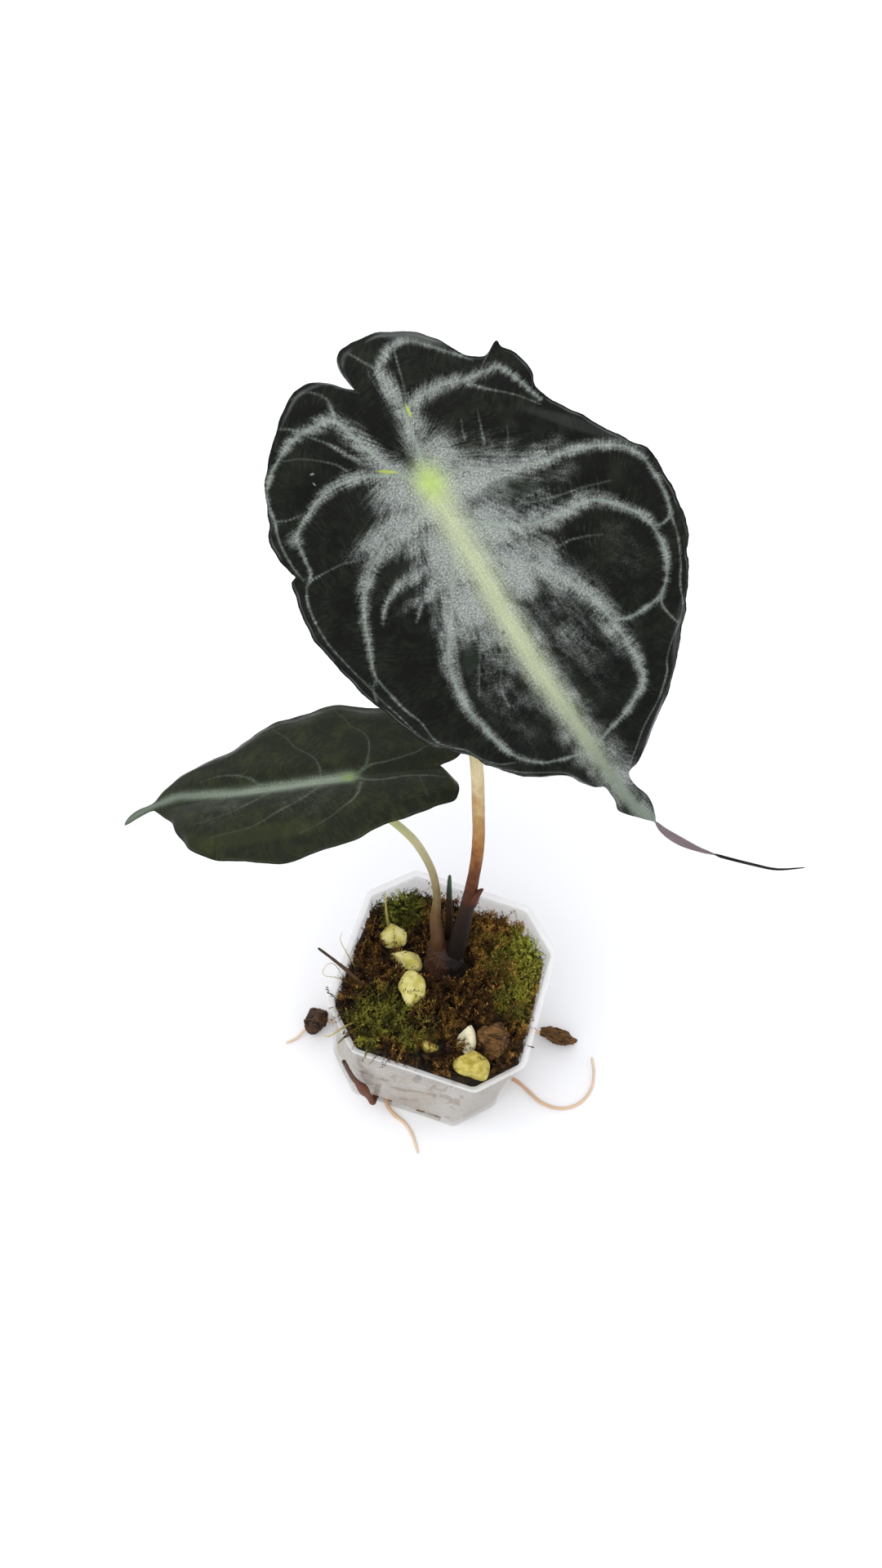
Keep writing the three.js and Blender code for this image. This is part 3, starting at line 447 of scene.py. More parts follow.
ROOTS = {
    "root_right_curl": ((23, -7.4, 4.4), (28, -8, 4.3), (32.4, -8.2, 3.2), (37, -9.7, 1.5),
                        (42.1, -11.6, 0.95), (48.1, -11.4, 0.9), (53.3, -8.2, 0.9),
                        (56.2, -2.5, 0.9), (55.9, 3.5, 0.9), (54, 8.4, 0.9)),
    "root_right_short": ((23, 7.6, 4.6), (28, 8.2, 4.4), (33, 9.4, 3.9), (38.5, 10.6, 3.3)),
    "root_front": ((-6.6, -23, 4), (-5.8, -28, 3.6), (-2.4, -30.4, 1.9), (1.4, -31.6, 1),
                   (5, -34.4, 0.9), (8.6, -39.4, 0.9)),
    "root_climbing": ((-9.6, -23, 4.8), (-9.7, -27.8, 5), (-9.8, -30.4, 7.6), (-11.4, -30.3, 13),
                      (-14.2, -30.4, 21), (-17.2, -30.9, 31), (-20, -31.5, 46)),
    "root_left": ((-23, -7.6, 4.4), (-28, -8.2, 4.3), (-32.5, -9.2, 4.1), (-36.4, -10.8, 3.6),
                  (-38.8, -14.2, 2), (-40.4, -17, 1), (-43, -19.6, 0.9)),
}
ROOT_RADII = {
    "root_right_curl": 0.62,
    "root_right_short": 0.75,
    "root_front": 0.65,
    "root_climbing": 0.9,
    "root_left": 0.6,
}
TWIG_PATH = [(-20.5, -9.6, 47), (-24.4, -8.7, 50.6), (-28.6, -7.6, 53.1), (-33, -6.2, 54),
             (-37.4, -4.9, 54.6)]

# Thin strands that hang over the rim and a pale blade of grass, each with its half thickness
WISPS = [
    ([(-24, -6, 47.5), (-29, -3, 52.4), (-32.2, 0, 53.6), (-32.6, 3, 52.8)], 0.22),
    ([(-24, -10, 47.8), (-29, -11, 52.8), (-32.8, -12, 54.2), (-34, -10.4, 54.8)], 0.2),
    ([(-27, -9.6, 49), (-31.2, -7.6, 53), (-33.2, -8.6, 54), (-33.8, -11.4, 53.6)], 0.16),
    ([(-19, -19, 48.2), (-22.6, -24, 52.2), (-25.4, -27.8, 52.6), (-27.4, -27.6, 50)], 0.45),
    ([(-18, -20, 48.2), (-21, -26, 52), (-22.4, -29.6, 52.4), (-22, -30.8, 50.4)], 0.3),
    ([(-19.6, 10, 45.6), (-21.6, 12.6, 49), (-23.4, 16, 51.4), (-24.8, 19.4, 52.6)], 0.6),
]
# Lip of the sheath that stands off the big stalk
SHEATH_LIP = [(1.3, 12, 80), (1.9, 12.6, 84), (2.6, 13.1, 86.8), (3.3, 13.4, 88.4)]

# Colours from the foot of a stalk or root to its end: share of the length, then the colour
STALK_COLOURS = {
    "main_stalk": [
        (0.0, 14, 6, 5), (0.1, 18, 8, 6), (0.16, 34, 14, 7), (0.23, 88, 43, 16), (0.28, 116, 63, 24),
        (0.34, 166, 114, 54), (0.42, 198, 160, 102), (0.5, 236, 218, 172), (0.8, 196, 204, 144)],
    "small_stalk": [
        (0.0, 70, 42, 26), (0.1, 88, 60, 38), (0.22, 112, 86, 54), (0.32, 138, 120, 78),
        (0.42, 164, 150, 108), (0.6, 204, 196, 150), (0.8, 192, 198, 132)],
    "shoot": [(0.0, 24, 13, 8), (0.66, 50, 32, 17), (0.8, 44, 66, 46), (0.95, 64, 92, 66)],
    "lip": [(0.0, 38, 18, 10), (0.45, 92, 48, 22), (1.0, 76, 40, 21)],
    "pale_root": [(0.0, 186, 142, 108), (0.5, 232, 200, 168), (1.0, 242, 222, 198)],
    "dark_root": [(0.0, 92, 56, 38), (0.4, 120, 70, 50), (1.0, 70, 46, 32)],
    "twig": [(0.0, 96, 74, 44), (0.5, 84, 60, 40), (1.0, 58, 44, 34)],
    "straw": [(0.0, 120, 104, 40), (1.0, 206, 196, 122)],
}

# Stem: height and half width, from inside the moss to where the stalks part
STEM_PROFILE = [
    (35, 3.4), (39, 4.6), (44, 5.1), (45.2, 4.7), (48, 5), (49.4, 4.5), (52.5, 4.6), (55.4, 3.6),
]
STEM_RINGS = 60
STEM_POINTS = 96

# Loose pieces: centre, half sizes, turn about the upright axis in degrees, seed of the lumps
GRAINS = {
    "grain_back": ((-18.7, 9.2, 46.9), (4.1, 3.7, 3), 12, 1),
    "grain_middle": ((-12.2, 3, 47.8), (4.6, 3, 2.8), -8, 2),
    "grain_front": ((-7.6, -6, 48.8), (3.9, 5, 3), 14, 3),
    "grain_corner": ((15.3, -23, 51.9), (4.7, 3.7, 4), -12, 4),
    "grain_white": ((11.7, -15.4, 50.1), (2.6, 4.3, 2.6), 8, 5),
    "grain_small": ((2.1, -21.2, 50.6), (2.5, 1.6, 1.5), 10, 6),
}
CHIPS = {
    "bark_chip_top": ((19.2, -12.6, 49.6), (4, 4.6, 3), -15, 11),
    "bark_chip_right": ((41.4, 10.8, 2.9), (6.8, 3, 2.5), 6, 12),
    "bark_chip_left": ((-35.8, -10.2, 4), (3.6, 4.6, 3.6), 10, 13),
}
# How much broader each chip's broken bark is than its plain lump
CHIP_GROWTH = {"bark_chip_top": 1.4, "bark_chip_right": 1.05, "bark_chip_left": 1.0}
TUFTS = {
    "moss_tuft_back": ((-18.4, 19.4, 44.6), (5, 3.8, 4.4), 0, 21),
    "moss_tuft_right": ((22.3, 17.6, 44.8), (3.3, 3, 3.6), 0, 22),
}


def smoothstep(low, high, value):
    t = np.clip((value - low) / (high - low), 0.0, 1.0)
    return t * t * (3.0 - 2.0 * t)


def curve_through(points, rows):
    """Points of a smooth curve through the given points, at fractional row numbers."""
    points = np.asarray(points, float)
    rows = np.asarray(rows, float)
    ends = 2.0 * points[0] - points[1], 2.0 * points[-1] - points[-2]
    knots = np.vstack([ends[0], points, ends[1]])
    start = np.clip(np.floor(rows).astype(int), 0, len(points) - 2)
    t = (rows - start)[:, None]
    before, here, after, beyond = (knots[start + i] for i in range(4))
    leave = 0.5 * (after - before)
    arrive = 0.5 * (beyond - here)
    square = -3.0 * here + 3.0 * after - 2.0 * leave - arrive
    cube = 2.0 * here - 2.0 * after + leave + arrive
    return here + leave * t + square * t**2 + cube * t**3


def even_curve(points, step):
    """Evenly spaced points along the smooth curve through the given points, and their distances."""
    dense = curve_through(points, np.linspace(0, len(points) - 1, 50 * len(points)))
    steps = np.linalg.norm(np.diff(dense, axis=0), axis=1)
    lengths = np.concatenate([[0.0], np.cumsum(steps)])
    count = max(2, int(round(lengths[-1] / step)) + 1)
    wanted = np.linspace(0.0, lengths[-1], count)
    columns = [np.interp(wanted, lengths, dense[:, k]) for k in range(dense.shape[1])]
    return np.column_stack(columns), wanted


def unit(vector):
    vector = np.asarray(vector, float)
    return vector / np.linalg.norm(vector)


def shade(red, green, blue):
    """A colour as a screen shows it, 0 to 255, turned into the light it stands for."""
    levels = np.array([red, green, blue]) / 255.0
    light = np.where(levels <= 0.04045, levels / 12.92, ((levels + 0.055) / 1.055) ** 2.4)
    return (*light.tolist(), 1.0)


class Wire:
    """A node's output. Sums and products of wires add the nodes that work them out."""

    def __init__(self, graph, socket):
        self.graph = graph
        self.socket = socket

    def other(self, name):
        """Another output of the same node."""
        return Wire(self.graph, self.socket.node.outputs[name])

    def __add__(self, other):
        return self.graph.math("ADD", self, other)

    def __sub__(self, other):
        return self.graph.math("SUBTRACT", self, other)

    def __rsub__(self, other):
        return self.graph.math("SUBTRACT", other, self)

    def __mul__(self, other):
        return self.graph.math("MULTIPLY", self, other)

    def __truediv__(self, other):
        return self.graph.math("DIVIDE", self, other)

    def __rtruediv__(self, other):
        return self.graph.math("DIVIDE", other, self)


class Graph:
    """A node tree built step by step. Each step gives back the wire that carries its result."""

    def __init__(self, tree):
        self.tree = tree

    def node(self, kind, inputs=None, output=0, **settings):
        """A node whose settings are made first, because they can change its inputs."""
        node = self.tree.nodes.new(kind)
        for name, value in settings.items():
            setattr(node, name, value)
        for key, value in (inputs or {}).items():
            if isinstance(value, Wire):
                self.tree.links.new(value.socket, node.inputs[key])
            else:
                node.inputs[key].default_value = value
        return Wire(self, node.outputs[output])

    def math(self, operation, first, second=0.0):
        return self.node("ShaderNodeMath", {0: first, 1: second}, operation=operation)

    def vector_math(self, operation, first, second):
        """Vector arithmetic; the second is a number where the operation is SCALE."""
        key = "Scale" if operation == "SCALE" else 1
        return self.node("ShaderNodeVectorMath", {0: first, key: second}, operation=operation)

    def vector(self, x=0.0, y=0.0, z=0.0):
        return self.node("ShaderNodeCombineXYZ", {0: x, 1: y, 2: z})

    def parts(self, vector):
        x = self.node("ShaderNodeSeparateXYZ", {0: vector}, "X")
        return x, x.other("Y"), x.other("Z")

    def noise(self, vector, size, detail=2.0, roughness=0.5, distortion=0.0):
        """Soft noise from 0 to 1 whose blotches measure about size millimetres."""
        return self.node("ShaderNodeTexNoise", {
            "Vector": vector, "Scale": 1.0 / size, "Detail": detail, "Roughness": roughness,
            "Distortion": distortion})

    def step(self, value, low, high, start=0.0, end=1.0):
        """Start below low, end above high, with a soft change between them."""
        return self.node("ShaderNodeMapRange", {
            "Value": value, "From Min": low, "From Max": high, "To Min": start, "To Max": end},
            interpolation_type="SMOOTHSTEP")


class Finish(Graph):
    """A material. Its colours are given as a screen shows them, 0 to 255."""

    def __init__(self, name):
        self.material = bpy.data.materials.new(name)
        self.material.use_nodes = True
        super().__init__(self.material.node_tree)
        self.shader = self.tree.nodes["Principled BSDF"]

    def attribute(self, name, output="Fac"):
        return self.node("ShaderNodeAttribute", output=output, attribute_name=name)

    def place(self):
        """Place on the object in millimetres."""
        coordinates = self.node("ShaderNodeTexCoord", output="Object")
        return self.scaled(coordinates, (1000.0, 1000.0, 1000.0))

    def scaled(self, vector, factors):
        return self.vector_math("MULTIPLY", vector, factors)

    def oval(self, flat, x, y, degrees, half_length, half_width):
        """1 inside an oval mark on the surface and 0 outside it."""
        turned = self.node("ShaderNodeMapping", {
            "Vector": flat, "Location": (x, y, 0.0), "Scale": (half_length, half_width, 1.0),
            "Rotation": (0.0, 0.0, math.radians(degrees))}, vector_type="TEXTURE")
        length = self.node("ShaderNodeVectorMath", {0: turned}, "Value", operation="LENGTH")
        return self.step(length, 0.5, 1.2, 1.0, 0.0)

    def mix(self, factor, first, second):
        first, second = (shade(*c) if isinstance(c, tuple) else c for c in (first, second))
        return self.node("ShaderNodeMix", {0: factor, 6: first, 7: second}, 2, data_type="RGBA")

    def ramp(self, value, stops):
        """Colours met one after another as value rises; each stop is a value and a colour."""
        ramp = self.node("ShaderNodeValToRGB", {0: value})
        elements = ramp.socket.node.color_ramp.elements
        while len(elements) < len(stops):
            elements.new(1.0)
        for element, (position, *colour) in zip(elements, stops):
            element.position = position
            element.color = shade(*colour)
        return ramp

    def finish(self, colour, roughness, height=None, depth=0.0, **settings):
        """Links colour and relief; height runs from 0 to 1 over depth millimetres."""
        inputs = self.shader.inputs
        self.tree.links.new(colour.socket, inputs["Base Color"])
        inputs["Roughness"].default_value = roughness
        if height is not None:
            relief = {"Height": height, "Distance": depth * MM, "Strength": 1.0}
            self.tree.links.new(self.node("ShaderNodeBump", relief).socket, inputs["Normal"])
        for name, value in settings.items():
            inputs[name.replace("_", " ")].default_value = value
        return self.material


def velvet(name, tint, rib_fade, marks):
    """Upper face of a leaf: dark velvet, silver haze with a frayed fringe, pale veins."""
    skin = Finish(name)
    flat = skin.attribute("flat", "Vector")
    x, y, _ = skin.parts(flat)
    reach, width, haze, margin = (
        skin.attribute(key) for key in ("vein_reach", "vein_width", "haze", "margin"))
    grain = skin.step(skin.noise(flat, 0.4, 3.0, 0.75), 0.34, 0.66)

    wobble = skin.noise(flat, 0.9) * 0.3 - 0.15
    offset = skin.math("ABSOLUTE", skin.attribute("vein_side") + wobble)
    core = skin.step(offset, 0.0, width + 0.3, 1.0, 0.0)
    core = core * skin.step(reach, width + 0.4, width + 0.8, 1.0, 0.0)
    core = core * skin.step(width, 0.02, 0.35, 0.08, 0.55)

    hairs = skin.noise(skin.scaled(skin.attribute("vein_flow", "Vector"), (1.9, 0.35, 0.0)), 1.0, 4.0, 0.7)
    combed = skin.step(reach, 0.8, 3.6, 1.3, 0.25)
    onward = y + 6.0
    angle = skin.math("ARCTAN2", x, onward)
    radius = skin.math("SQRT", x * x + onward * onward)
    rays = skin.noise(skin.vector(angle * 22.0, radius * 0.13), 1.0, 5.0, 0.68)
    cloud = skin.noise(flat, 5.0, 4.0, 0.6)
    fray = (hairs - 0.5) * combed + (rays - 0.5) * 1.7 + (cloud - 0.5) * 1.3
    window = haze * (1.35 - haze)
    level = fray * window * 2.1 + haze
    veil = skin.step(level + grain * 0.12, 0.12, 1.22) * (grain * 0.16 + 0.78)

    mottle = hairs * 0.6 + skin.noise(flat, 7.0, 4.0, 0.6) * 0.6
    ground = skin.mix(skin.step(mottle, 0.5, 0.92), tint["darkest"], tint["brownish"])
    colour = skin.mix(veil, ground, skin.mix(grain, tint["grey"], tint["silver"]))
    colour = skin.mix(core, colour, tint["vein"])

    fibres = skin.noise(skin.scaled(flat, (1.5, 0.1, 1.0)), 1.0, 4.0, 0.7)
    rib_colour = skin.mix(skin.step(y, *rib_fade), tint["rib_near"], tint["rib_far"])
    rib = skin.attribute("midrib") * fibres * 1.5 * (grain * 0.5 + 0.62)
    colour = skin.mix(skin.math("MINIMUM", rib, 1.0), colour, rib_colour)
    colour = skin.mix(skin.attribute("glow") * (grain * 0.3 + 0.55), colour, tint["glow"])

    line = skin.step(margin, 0.25, 0.5) * skin.step(margin, 0.5, 0.8, 1.0, 0.0)
    line = line * skin.step(skin.noise(flat, 6.0), 0.35, 0.65, 0.0, 0.4)
    colour = skin.mix(line, colour, tint["grey"])
    # Some marks are the leaf's own colour, some are painted sheen and painted glints
    for mark_colour, strength, *place in marks:
        colour = skin.mix(skin.oval(flat, *place) * strength, colour, mark_colour)
    height = skin.noise(flat, 2.2, 3.0) * 0.7 + grain * 0.3
    return skin.finish(colour, 0.55, height, 0.12,
                       Specular_IOR_Level=0.1, Sheen_Weight=0.6, Sheen_Roughness=0.25)


def leaf_underside(name):
    """Lower face of a leaf: dull grey purple with greener veins and a dark margin."""
    skin = Finish(name)
    flat = skin.attribute("flat", "Vector")
    ground = skin.mix(skin.noise(flat, 3.0, 4.0, 0.6), (92, 82, 86), (128, 112, 116))
    vein = skin.step(skin.attribute("vein_reach"), 0.2, 1.2, 0.6, 0.0)
    colour = skin.mix(vein, ground, (140, 148, 120))
    colour = skin.mix(skin.attribute("haze") * 0.25, colour, (150, 150, 140))
    rim = skin.step(skin.attribute("margin"), 0.5, 1.4, 0.9, 0.0)
    blade = skin.step(skin.parts(flat)[1], 88.0, 92.0, 1.0, 0.0)
    colour = skin.mix(rim * blade, colour, (26, 26, 23))
    return skin.finish(colour, 0.6, skin.noise(flat, 0.7, 3.0), 0.08, Specular_IOR_Level=0.3)


def stalk_finish(name, stops, fibre_depth=0.1, gloss=0.45):
    """Stalks and roots: colours met along the length, with fine lengthwise fibres."""
    skin = Finish(name)
    x, y, _ = skin.parts(skin.attribute("around", "Vector"))
    fibres = skin.noise(skin.vector(x, y, skin.attribute("along") * 0.05), 0.16, 3.0, 0.6)
    blotches = skin.noise(skin.place(), 3.0, 4.0, 0.6)
    colour = skin.ramp(skin.attribute("share") + (blotches - 0.5) * 0.16, stops)
    shadowed = skin.mix(0.3, colour, (40, 22, 14))
    colour = skin.mix(skin.step(fibres, 0.35, 0.75, 0.75, 0.0), colour, shadowed)
    return skin.finish(colour, gloss, fibres, fibre_depth, Specular_IOR_Level=0.25)


def moss_finish(name, dark, middle, light, green_dark, green_light):
    """Moss strands: brown to tan, green where the mesh says so, paler towards each tip."""
    skin = Finish(name)
    place = skin.place()
    x, y, _ = skin.parts(place)
    tone = skin.attribute("tone")
    clumps = skin.step(skin.noise(place, 4.5, 3.0, 0.6), 0.38, 0.66)
    back_right = skin.step(x + y, 8.0, 40.0)
    lightness = tone * 0.3 + clumps * 0.42 + skin.attribute("tip") * 0.26 + back_right * 0.36 - 0.12
    brown = skin.ramp(lightness, [(0.1, *dark), (0.45, *middle), (0.85, *light)])
    leafy = skin.ramp(lightness, [(0.1, *green_dark), (0.8, *green_light)])
    patches = skin.noise(place, 7.0, 3.0) * 0.9 - 0.42
    colour = skin.mix(skin.step(skin.attribute("green") + patches, 0.22, 0.5), brown, leafy)
    fibres = skin.noise(skin.scaled(place, (0.8, 0.8, 0.6)), 1.0, 4.0, 0.6, 2.5)
    at_wall = skin.ramp(fibres, [(0.34, 30, 18, 7), (0.5, 86, 60, 26), (0.64, 180, 142, 84)])
    colour = skin.mix(skin.step(tone, 1.6, 2.0), colour, at_wall)
    return skin.finish(colour, 0.7, skin.noise(place, 0.35, 3.0), 0.1, Specular_IOR_Level=0.25)


def pumice_finish(name, pale, tint, pit_shade):
    """Porous grains: a tint that gathers in the hollows, and painted shade that darkens the pits."""
    skin = Finish(name)
    place = skin.place()
    pores = skin.noise(place, 0.45, 3.0, 0.7)
    colour = skin.mix(skin.step(skin.noise(place, 2.6, 4.0, 0.6), 0.35, 0.65), pale, tint)
    # Painted shade darkens the pits
    colour = skin.mix(skin.step(pores, 0.28, 0.44, 0.4, 0.0), colour, pit_shade)
    return skin.finish(colour, 0.85, pores, 0.12, Specular_IOR_Level=0.2)


def bark_finish(name, dark, light):
    """Damp bark: fibres that run one way, with dark cracks."""
    skin = Finish(name)
    place = skin.place()
    fibres = skin.noise(skin.scaled(place, (0.35, 1.6, 1.6)), 1.0, 4.0, 0.65)
    blotches = skin.noise(place, 2.4, 3.0)
    colour = skin.mix(skin.step(fibres + blotches * 0.5, 0.5, 1.0), dark, light)
    return skin.finish(colour, 0.8, fibres, 0.3, Specular_IOR_Level=0.25)


def plastic_finish(name):
    """Thin milky clear plastic, with painted shade where damp moss lies behind it and painted light above
    the moss.
    """
    skin = Finish(name)
    place = skin.place()
    cloud = skin.noise(place, 9.0, 4.0, 0.6)
    moss_shade_streaks = skin.noise(skin.scaled(place, (0.3, 0.3, 0.05)), 1.0, 3.0)
    moss_shade_blotches = skin.noise(skin.scaled(place, (0.12, 0.12, 0.07)), 1.0, 4.0, 0.55, 0.5)
    colour = skin.mix(skin.step(cloud, 0.35, 0.7), (246, 244, 238), (226, 220, 208))
    # Painted shade of the damp moss seen through the wall: greyer streaks and brown blotches
    colour = skin.mix(skin.step(moss_shade_streaks, 0.5, 0.8, 0.0, 0.4), colour, (204, 194, 178))
    colour = skin.mix(skin.step(moss_shade_blotches, 0.45, 0.7, 0.0, 0.2), colour, (172, 158, 132))
    # Painted light: white above the moss, where light comes through the bare wall
    bare = skin.step(skin.parts(place)[2], MOSS_MIDDLE + 1.0, MOSS_MIDDLE + 5.0)
    colour = skin.mix(bare, colour, (255, 255, 255))
    return skin.finish(colour, 0.24, skin.noise(place, 3.5, 3.0), 0.12, Alpha=0.34,
                       Specular_IOR_Level=0.5, Coat_Weight=0.6, Coat_Roughness=0.08)


def stem_finish(name):
    """Old stalk bases: brown pink sheaths to the left, near-black purple to the right."""
    skin = Finish(name)
    place = skin.place()
    fibres = skin.noise(skin.scaled(place, (1.0, 1.0, 0.12)), 0.6, 4.0, 0.6)
    side = skin.parts(place)[0] + (skin.noise(place, 3.5, 3.0) - 0.5) * 5.0
    ground = skin.mix(skin.step(side, -3.0, 1.5), (86, 54, 36), (26, 13, 12))
    colour = skin.mix(skin.step(fibres, 0.4, 0.7, 0.7, 0.0), ground, (14, 7, 5))
    return skin.finish(colour, 0.6, fibres, 0.3, Specular_IOR_Level=0.3)


def floor_finish(name):
    """Pale floor with the faintest unevenness."""
    skin = Finish(name)
    cloud = skin.noise(skin.place(), 90.0, 2.0)
    colour = skin.mix(cloud, (243, 244, 248), (248, 248, 250))
    return skin.finish(colour, 0.9, Specular_IOR_Level=0.1)


class Growth(Graph):
    """A geometry node tree with named inputs; it ends in one plain mesh of one material."""

    def __init__(self, name, inputs):
        """Each input has its default value, or the kind of its socket where it has none."""
        super().__init__(bpy.data.node_groups.new(name, "GeometryNodeTree"))
        kinds = {int: "NodeSocketInt", float: "NodeSocketFloat", tuple: "NodeSocketVector"}
        sockets = self.tree.interface
        sockets.new_socket("Geometry", in_out="INPUT", socket_type="NodeSocketGeometry")
        for label, value in inputs.items():
            kind = kinds.get(type(value), value)
            socket = sockets.new_socket(label, in_out="INPUT", socket_type=kind)
            if kind != value:
                socket.default_value = value
        sockets.new_socket("Geometry", in_out="OUTPUT", socket_type="NodeSocketGeometry")
        first = self.node("NodeGroupInput")
        self.given = {label: first.other(label) for label in ["Geometry", *inputs]}

    def named(self, name, kind="FLOAT"):
        return self.node("GeometryNodeInputNamedAttribute", {"Name": name}, data_type=kind)

    def store(self, geometry, name, value, kind="FLOAT", domain="POINT"):
        inputs = {"Geometry": geometry, "Name": name, "Value": value}
        return self.node("GeometryNodeStoreNamedAttribute", inputs, data_type=kind, domain=domain)

    def end_raised(self, geometry, depth):
        """Moves the geometry out along its normals by depth millimetres and ends the tree."""
        normal = self.node("GeometryNodeInputNormal")
        offset = self.vector_math("SCALE", normal, depth * MM)
        return self.end(self.node("GeometryNodeSetPosition", {"Geometry": geometry, "Offset": offset}))

    def end(self, geometry):
        """Realizes the instances, sets the material and ends the tree."""
        for kind in ("GeometryNodeRealizeInstances", "GeometryNodeSetShadeSmooth"):
            geometry = self.node(kind, {"Geometry": geometry})
        inputs = {"Geometry": geometry, "Material": self.given["Material"]}
        last = self.tree.nodes.new("NodeGroupOutput")
        self.tree.links.new(self.node("GeometryNodeSetMaterial", inputs).socket, last.inputs[0])
        return self.tree


def bar_tree():
    """Sweeps a round section along a line whose thickness is an attribute, with ridges and lumps."""
    grow = Growth("swept bar", {
        "Sides": 24, "Ridges": 0.0, "Ridge depth": 0.0, "Lump width": 1.0, "Lump length": 3.0,
        "Lump depth": 0.1, "Seed": 0.0, "Material": "NodeSocketMaterial"})
    given = grow.given
    line = grow.node("GeometryNodeMeshToCurve", {"Mesh": given["Geometry"]})
    length = grow.node("GeometryNodeSplineParameter", output="Length")
    line = grow.store(line, "along", length * 1000.0)
    line = grow.store(line, "share", length.other("Factor"))
    ring = grow.node("GeometryNodeCurvePrimitiveCircle", {"Resolution": given["Sides"], "Radius": 1.0})
    section = grow.store(ring, "around", grow.node("GeometryNodeInputPosition"), "FLOAT_VECTOR")
    bar = grow.node("GeometryNodeCurveToMesh", {
        "Curve": line, "Profile Curve": section, "Scale": grow.named("thickness"), "Fill Caps": True})
    around = grow.named("around", "FLOAT_VECTOR")
    x, y, _ = grow.parts(around)
    angle = grow.math("ARCTAN2", y, x)
    ridge = grow.math("COSINE", angle * given["Ridges"]) * given["Ridge depth"]
    across = grow.vector_math("SCALE", around, 1.0 / given["Lump width"])
    onward = grow.named("along") / given["Lump length"] + given["Seed"]
    spot = grow.vector_math("ADD", across, grow.vector(z=onward))
    lump = (grow.noise(spot, 1.0, 3.0) - 0.5) * given["Lump depth"]
    return grow.end_raised(bar, ridge + lump)


def skin_tree():
    """Roughens a closed mesh along its normals: broad lumps, fine grit and pits."""
    grow = Growth("rough skin", {
        "Stretch": (1.0, 1.0, 1.0), "Lump size": 4.0, "Lump depth": 0.5, "Grit size": 0.8,
        "Grit depth": 0.1, "Pit size": 1.0, "Pit depth": 0.0, "Seed": 0.0,
        "Material": "NodeSocketMaterial"})
    given = grow.given
    spot = grow.vector_math("SCALE", grow.node("GeometryNodeInputPosition"), 1000.0)
    spot = grow.vector_math("MULTIPLY", spot, given["Stretch"])
    spot = grow.vector_math("ADD", spot, grow.vector(given["Seed"], given["Seed"]))
    lumps = (grow.noise(spot, given["Lump size"], 2.0, 0.6) - 0.5) * given["Lump depth"]
    grit = (grow.noise(spot, given["Grit size"], 3.0, 0.6) - 0.5) * given["Grit depth"]
    cells = {"Vector": spot, "Scale": 1.0 / given["Pit size"]}
    hollow = grow.step(grow.node("ShaderNodeTexVoronoi", cells, "Distance"), 0.1, 0.42, 1.0, 0.0)
    depth = lumps + grit - hollow * given["Pit depth"]
    return grow.end_raised(given["Geometry"], depth)


def cover_tree():
    """Scatters sprigs over a surface, leaning at random, each with a tone of its own."""
    grow = Growth("moss cover", {
        "Sprigs": "NodeSocketCollection", "Spacing": 1.0, "Lean": 1.0, "Smallest": 0.6,
        "Largest": 1.2, "Seed": 0, "Material": "NodeSocketMaterial"})
    given = grow.given
    points = grow.node("GeometryNodeDistributePointsOnFaces", {
        "Mesh": given["Geometry"], "Distance Min": given["Spacing"] * MM, "Density Max": 1.0e7,
        "Density Factor": grow.named("cover"), "Seed": given["Seed"]}, distribute_method="POISSON")

    def chance(low, high, salt, kind="FLOAT"):
        first, output = (0, 0) if kind == "FLOAT_VECTOR" else (2, 1)
        inputs = {first: low, first + 1: high, "Seed": given["Seed"] + salt}
        return grow.node("FunctionNodeRandomValue", inputs, output, data_type=kind)

    lean = chance((-1.0, -1.0, -0.6), (1.0, 1.0, 1.0), 11, "FLOAT_VECTOR")
    lean = grow.vector_math("SCALE", lean, given["Lean"])
    way = grow.vector_math("ADD", points.other("Normal"), lean)
    turn = grow.node("FunctionNodeAlignRotationToVector", {"Vector": way}, axis="Z")
    spin = {"Axis": (0.0, 0.0, 1.0), "Angle": chance(0.0, 2.0 * math.pi, 23)}
    spin = grow.node("FunctionNodeAxisAngleToRotation", spin)
    turn = grow.node(
        "FunctionNodeRotateRotation", {"Rotation": turn, "Rotate By": spin}, rotation_space="LOCAL")
    size = {0: chance(0.0, 1.0, 37), 3: given["Smallest"], 4: given["Largest"]}
    kinds = {"Collection": given["Sprigs"], "Separate Children": True, "Reset Children": True}
    sprigs = grow.node("GeometryNodeInstanceOnPoints", {
        "Points": points, "Instance": grow.node("GeometryNodeCollectionInfo", kinds),
        "Pick Instance": True, "Rotation": turn, "Scale": grow.node("ShaderNodeMapRange", size)})
    return grow.end(grow.store(sprigs, "tone", chance(0.0, 1.0, 51), domain="INSTANCE"))


def new_piece(name, mesh):
    piece = bpy.data.objects.new(name, mesh)
    bpy.context.scene.collection.objects.link(piece)
    return piece


def mesh_from(name, points, faces=(), edges=()):
    """A mesh from points in millimetres."""
    mesh = bpy.data.meshes.new(name)
    mesh.from_pydata((np.asarray(points, float) * MM).tolist(), list(edges), list(faces))
    mesh.update()
    return mesh


def set_values(mesh, name, values, kind="FLOAT"):
    layer = mesh.attributes.new(name, kind, "POINT")
    key = "vector" if kind == "FLOAT_VECTOR" else "value"
    layer.data.foreach_set(key, np.asarray(values, np.float32).ravel())


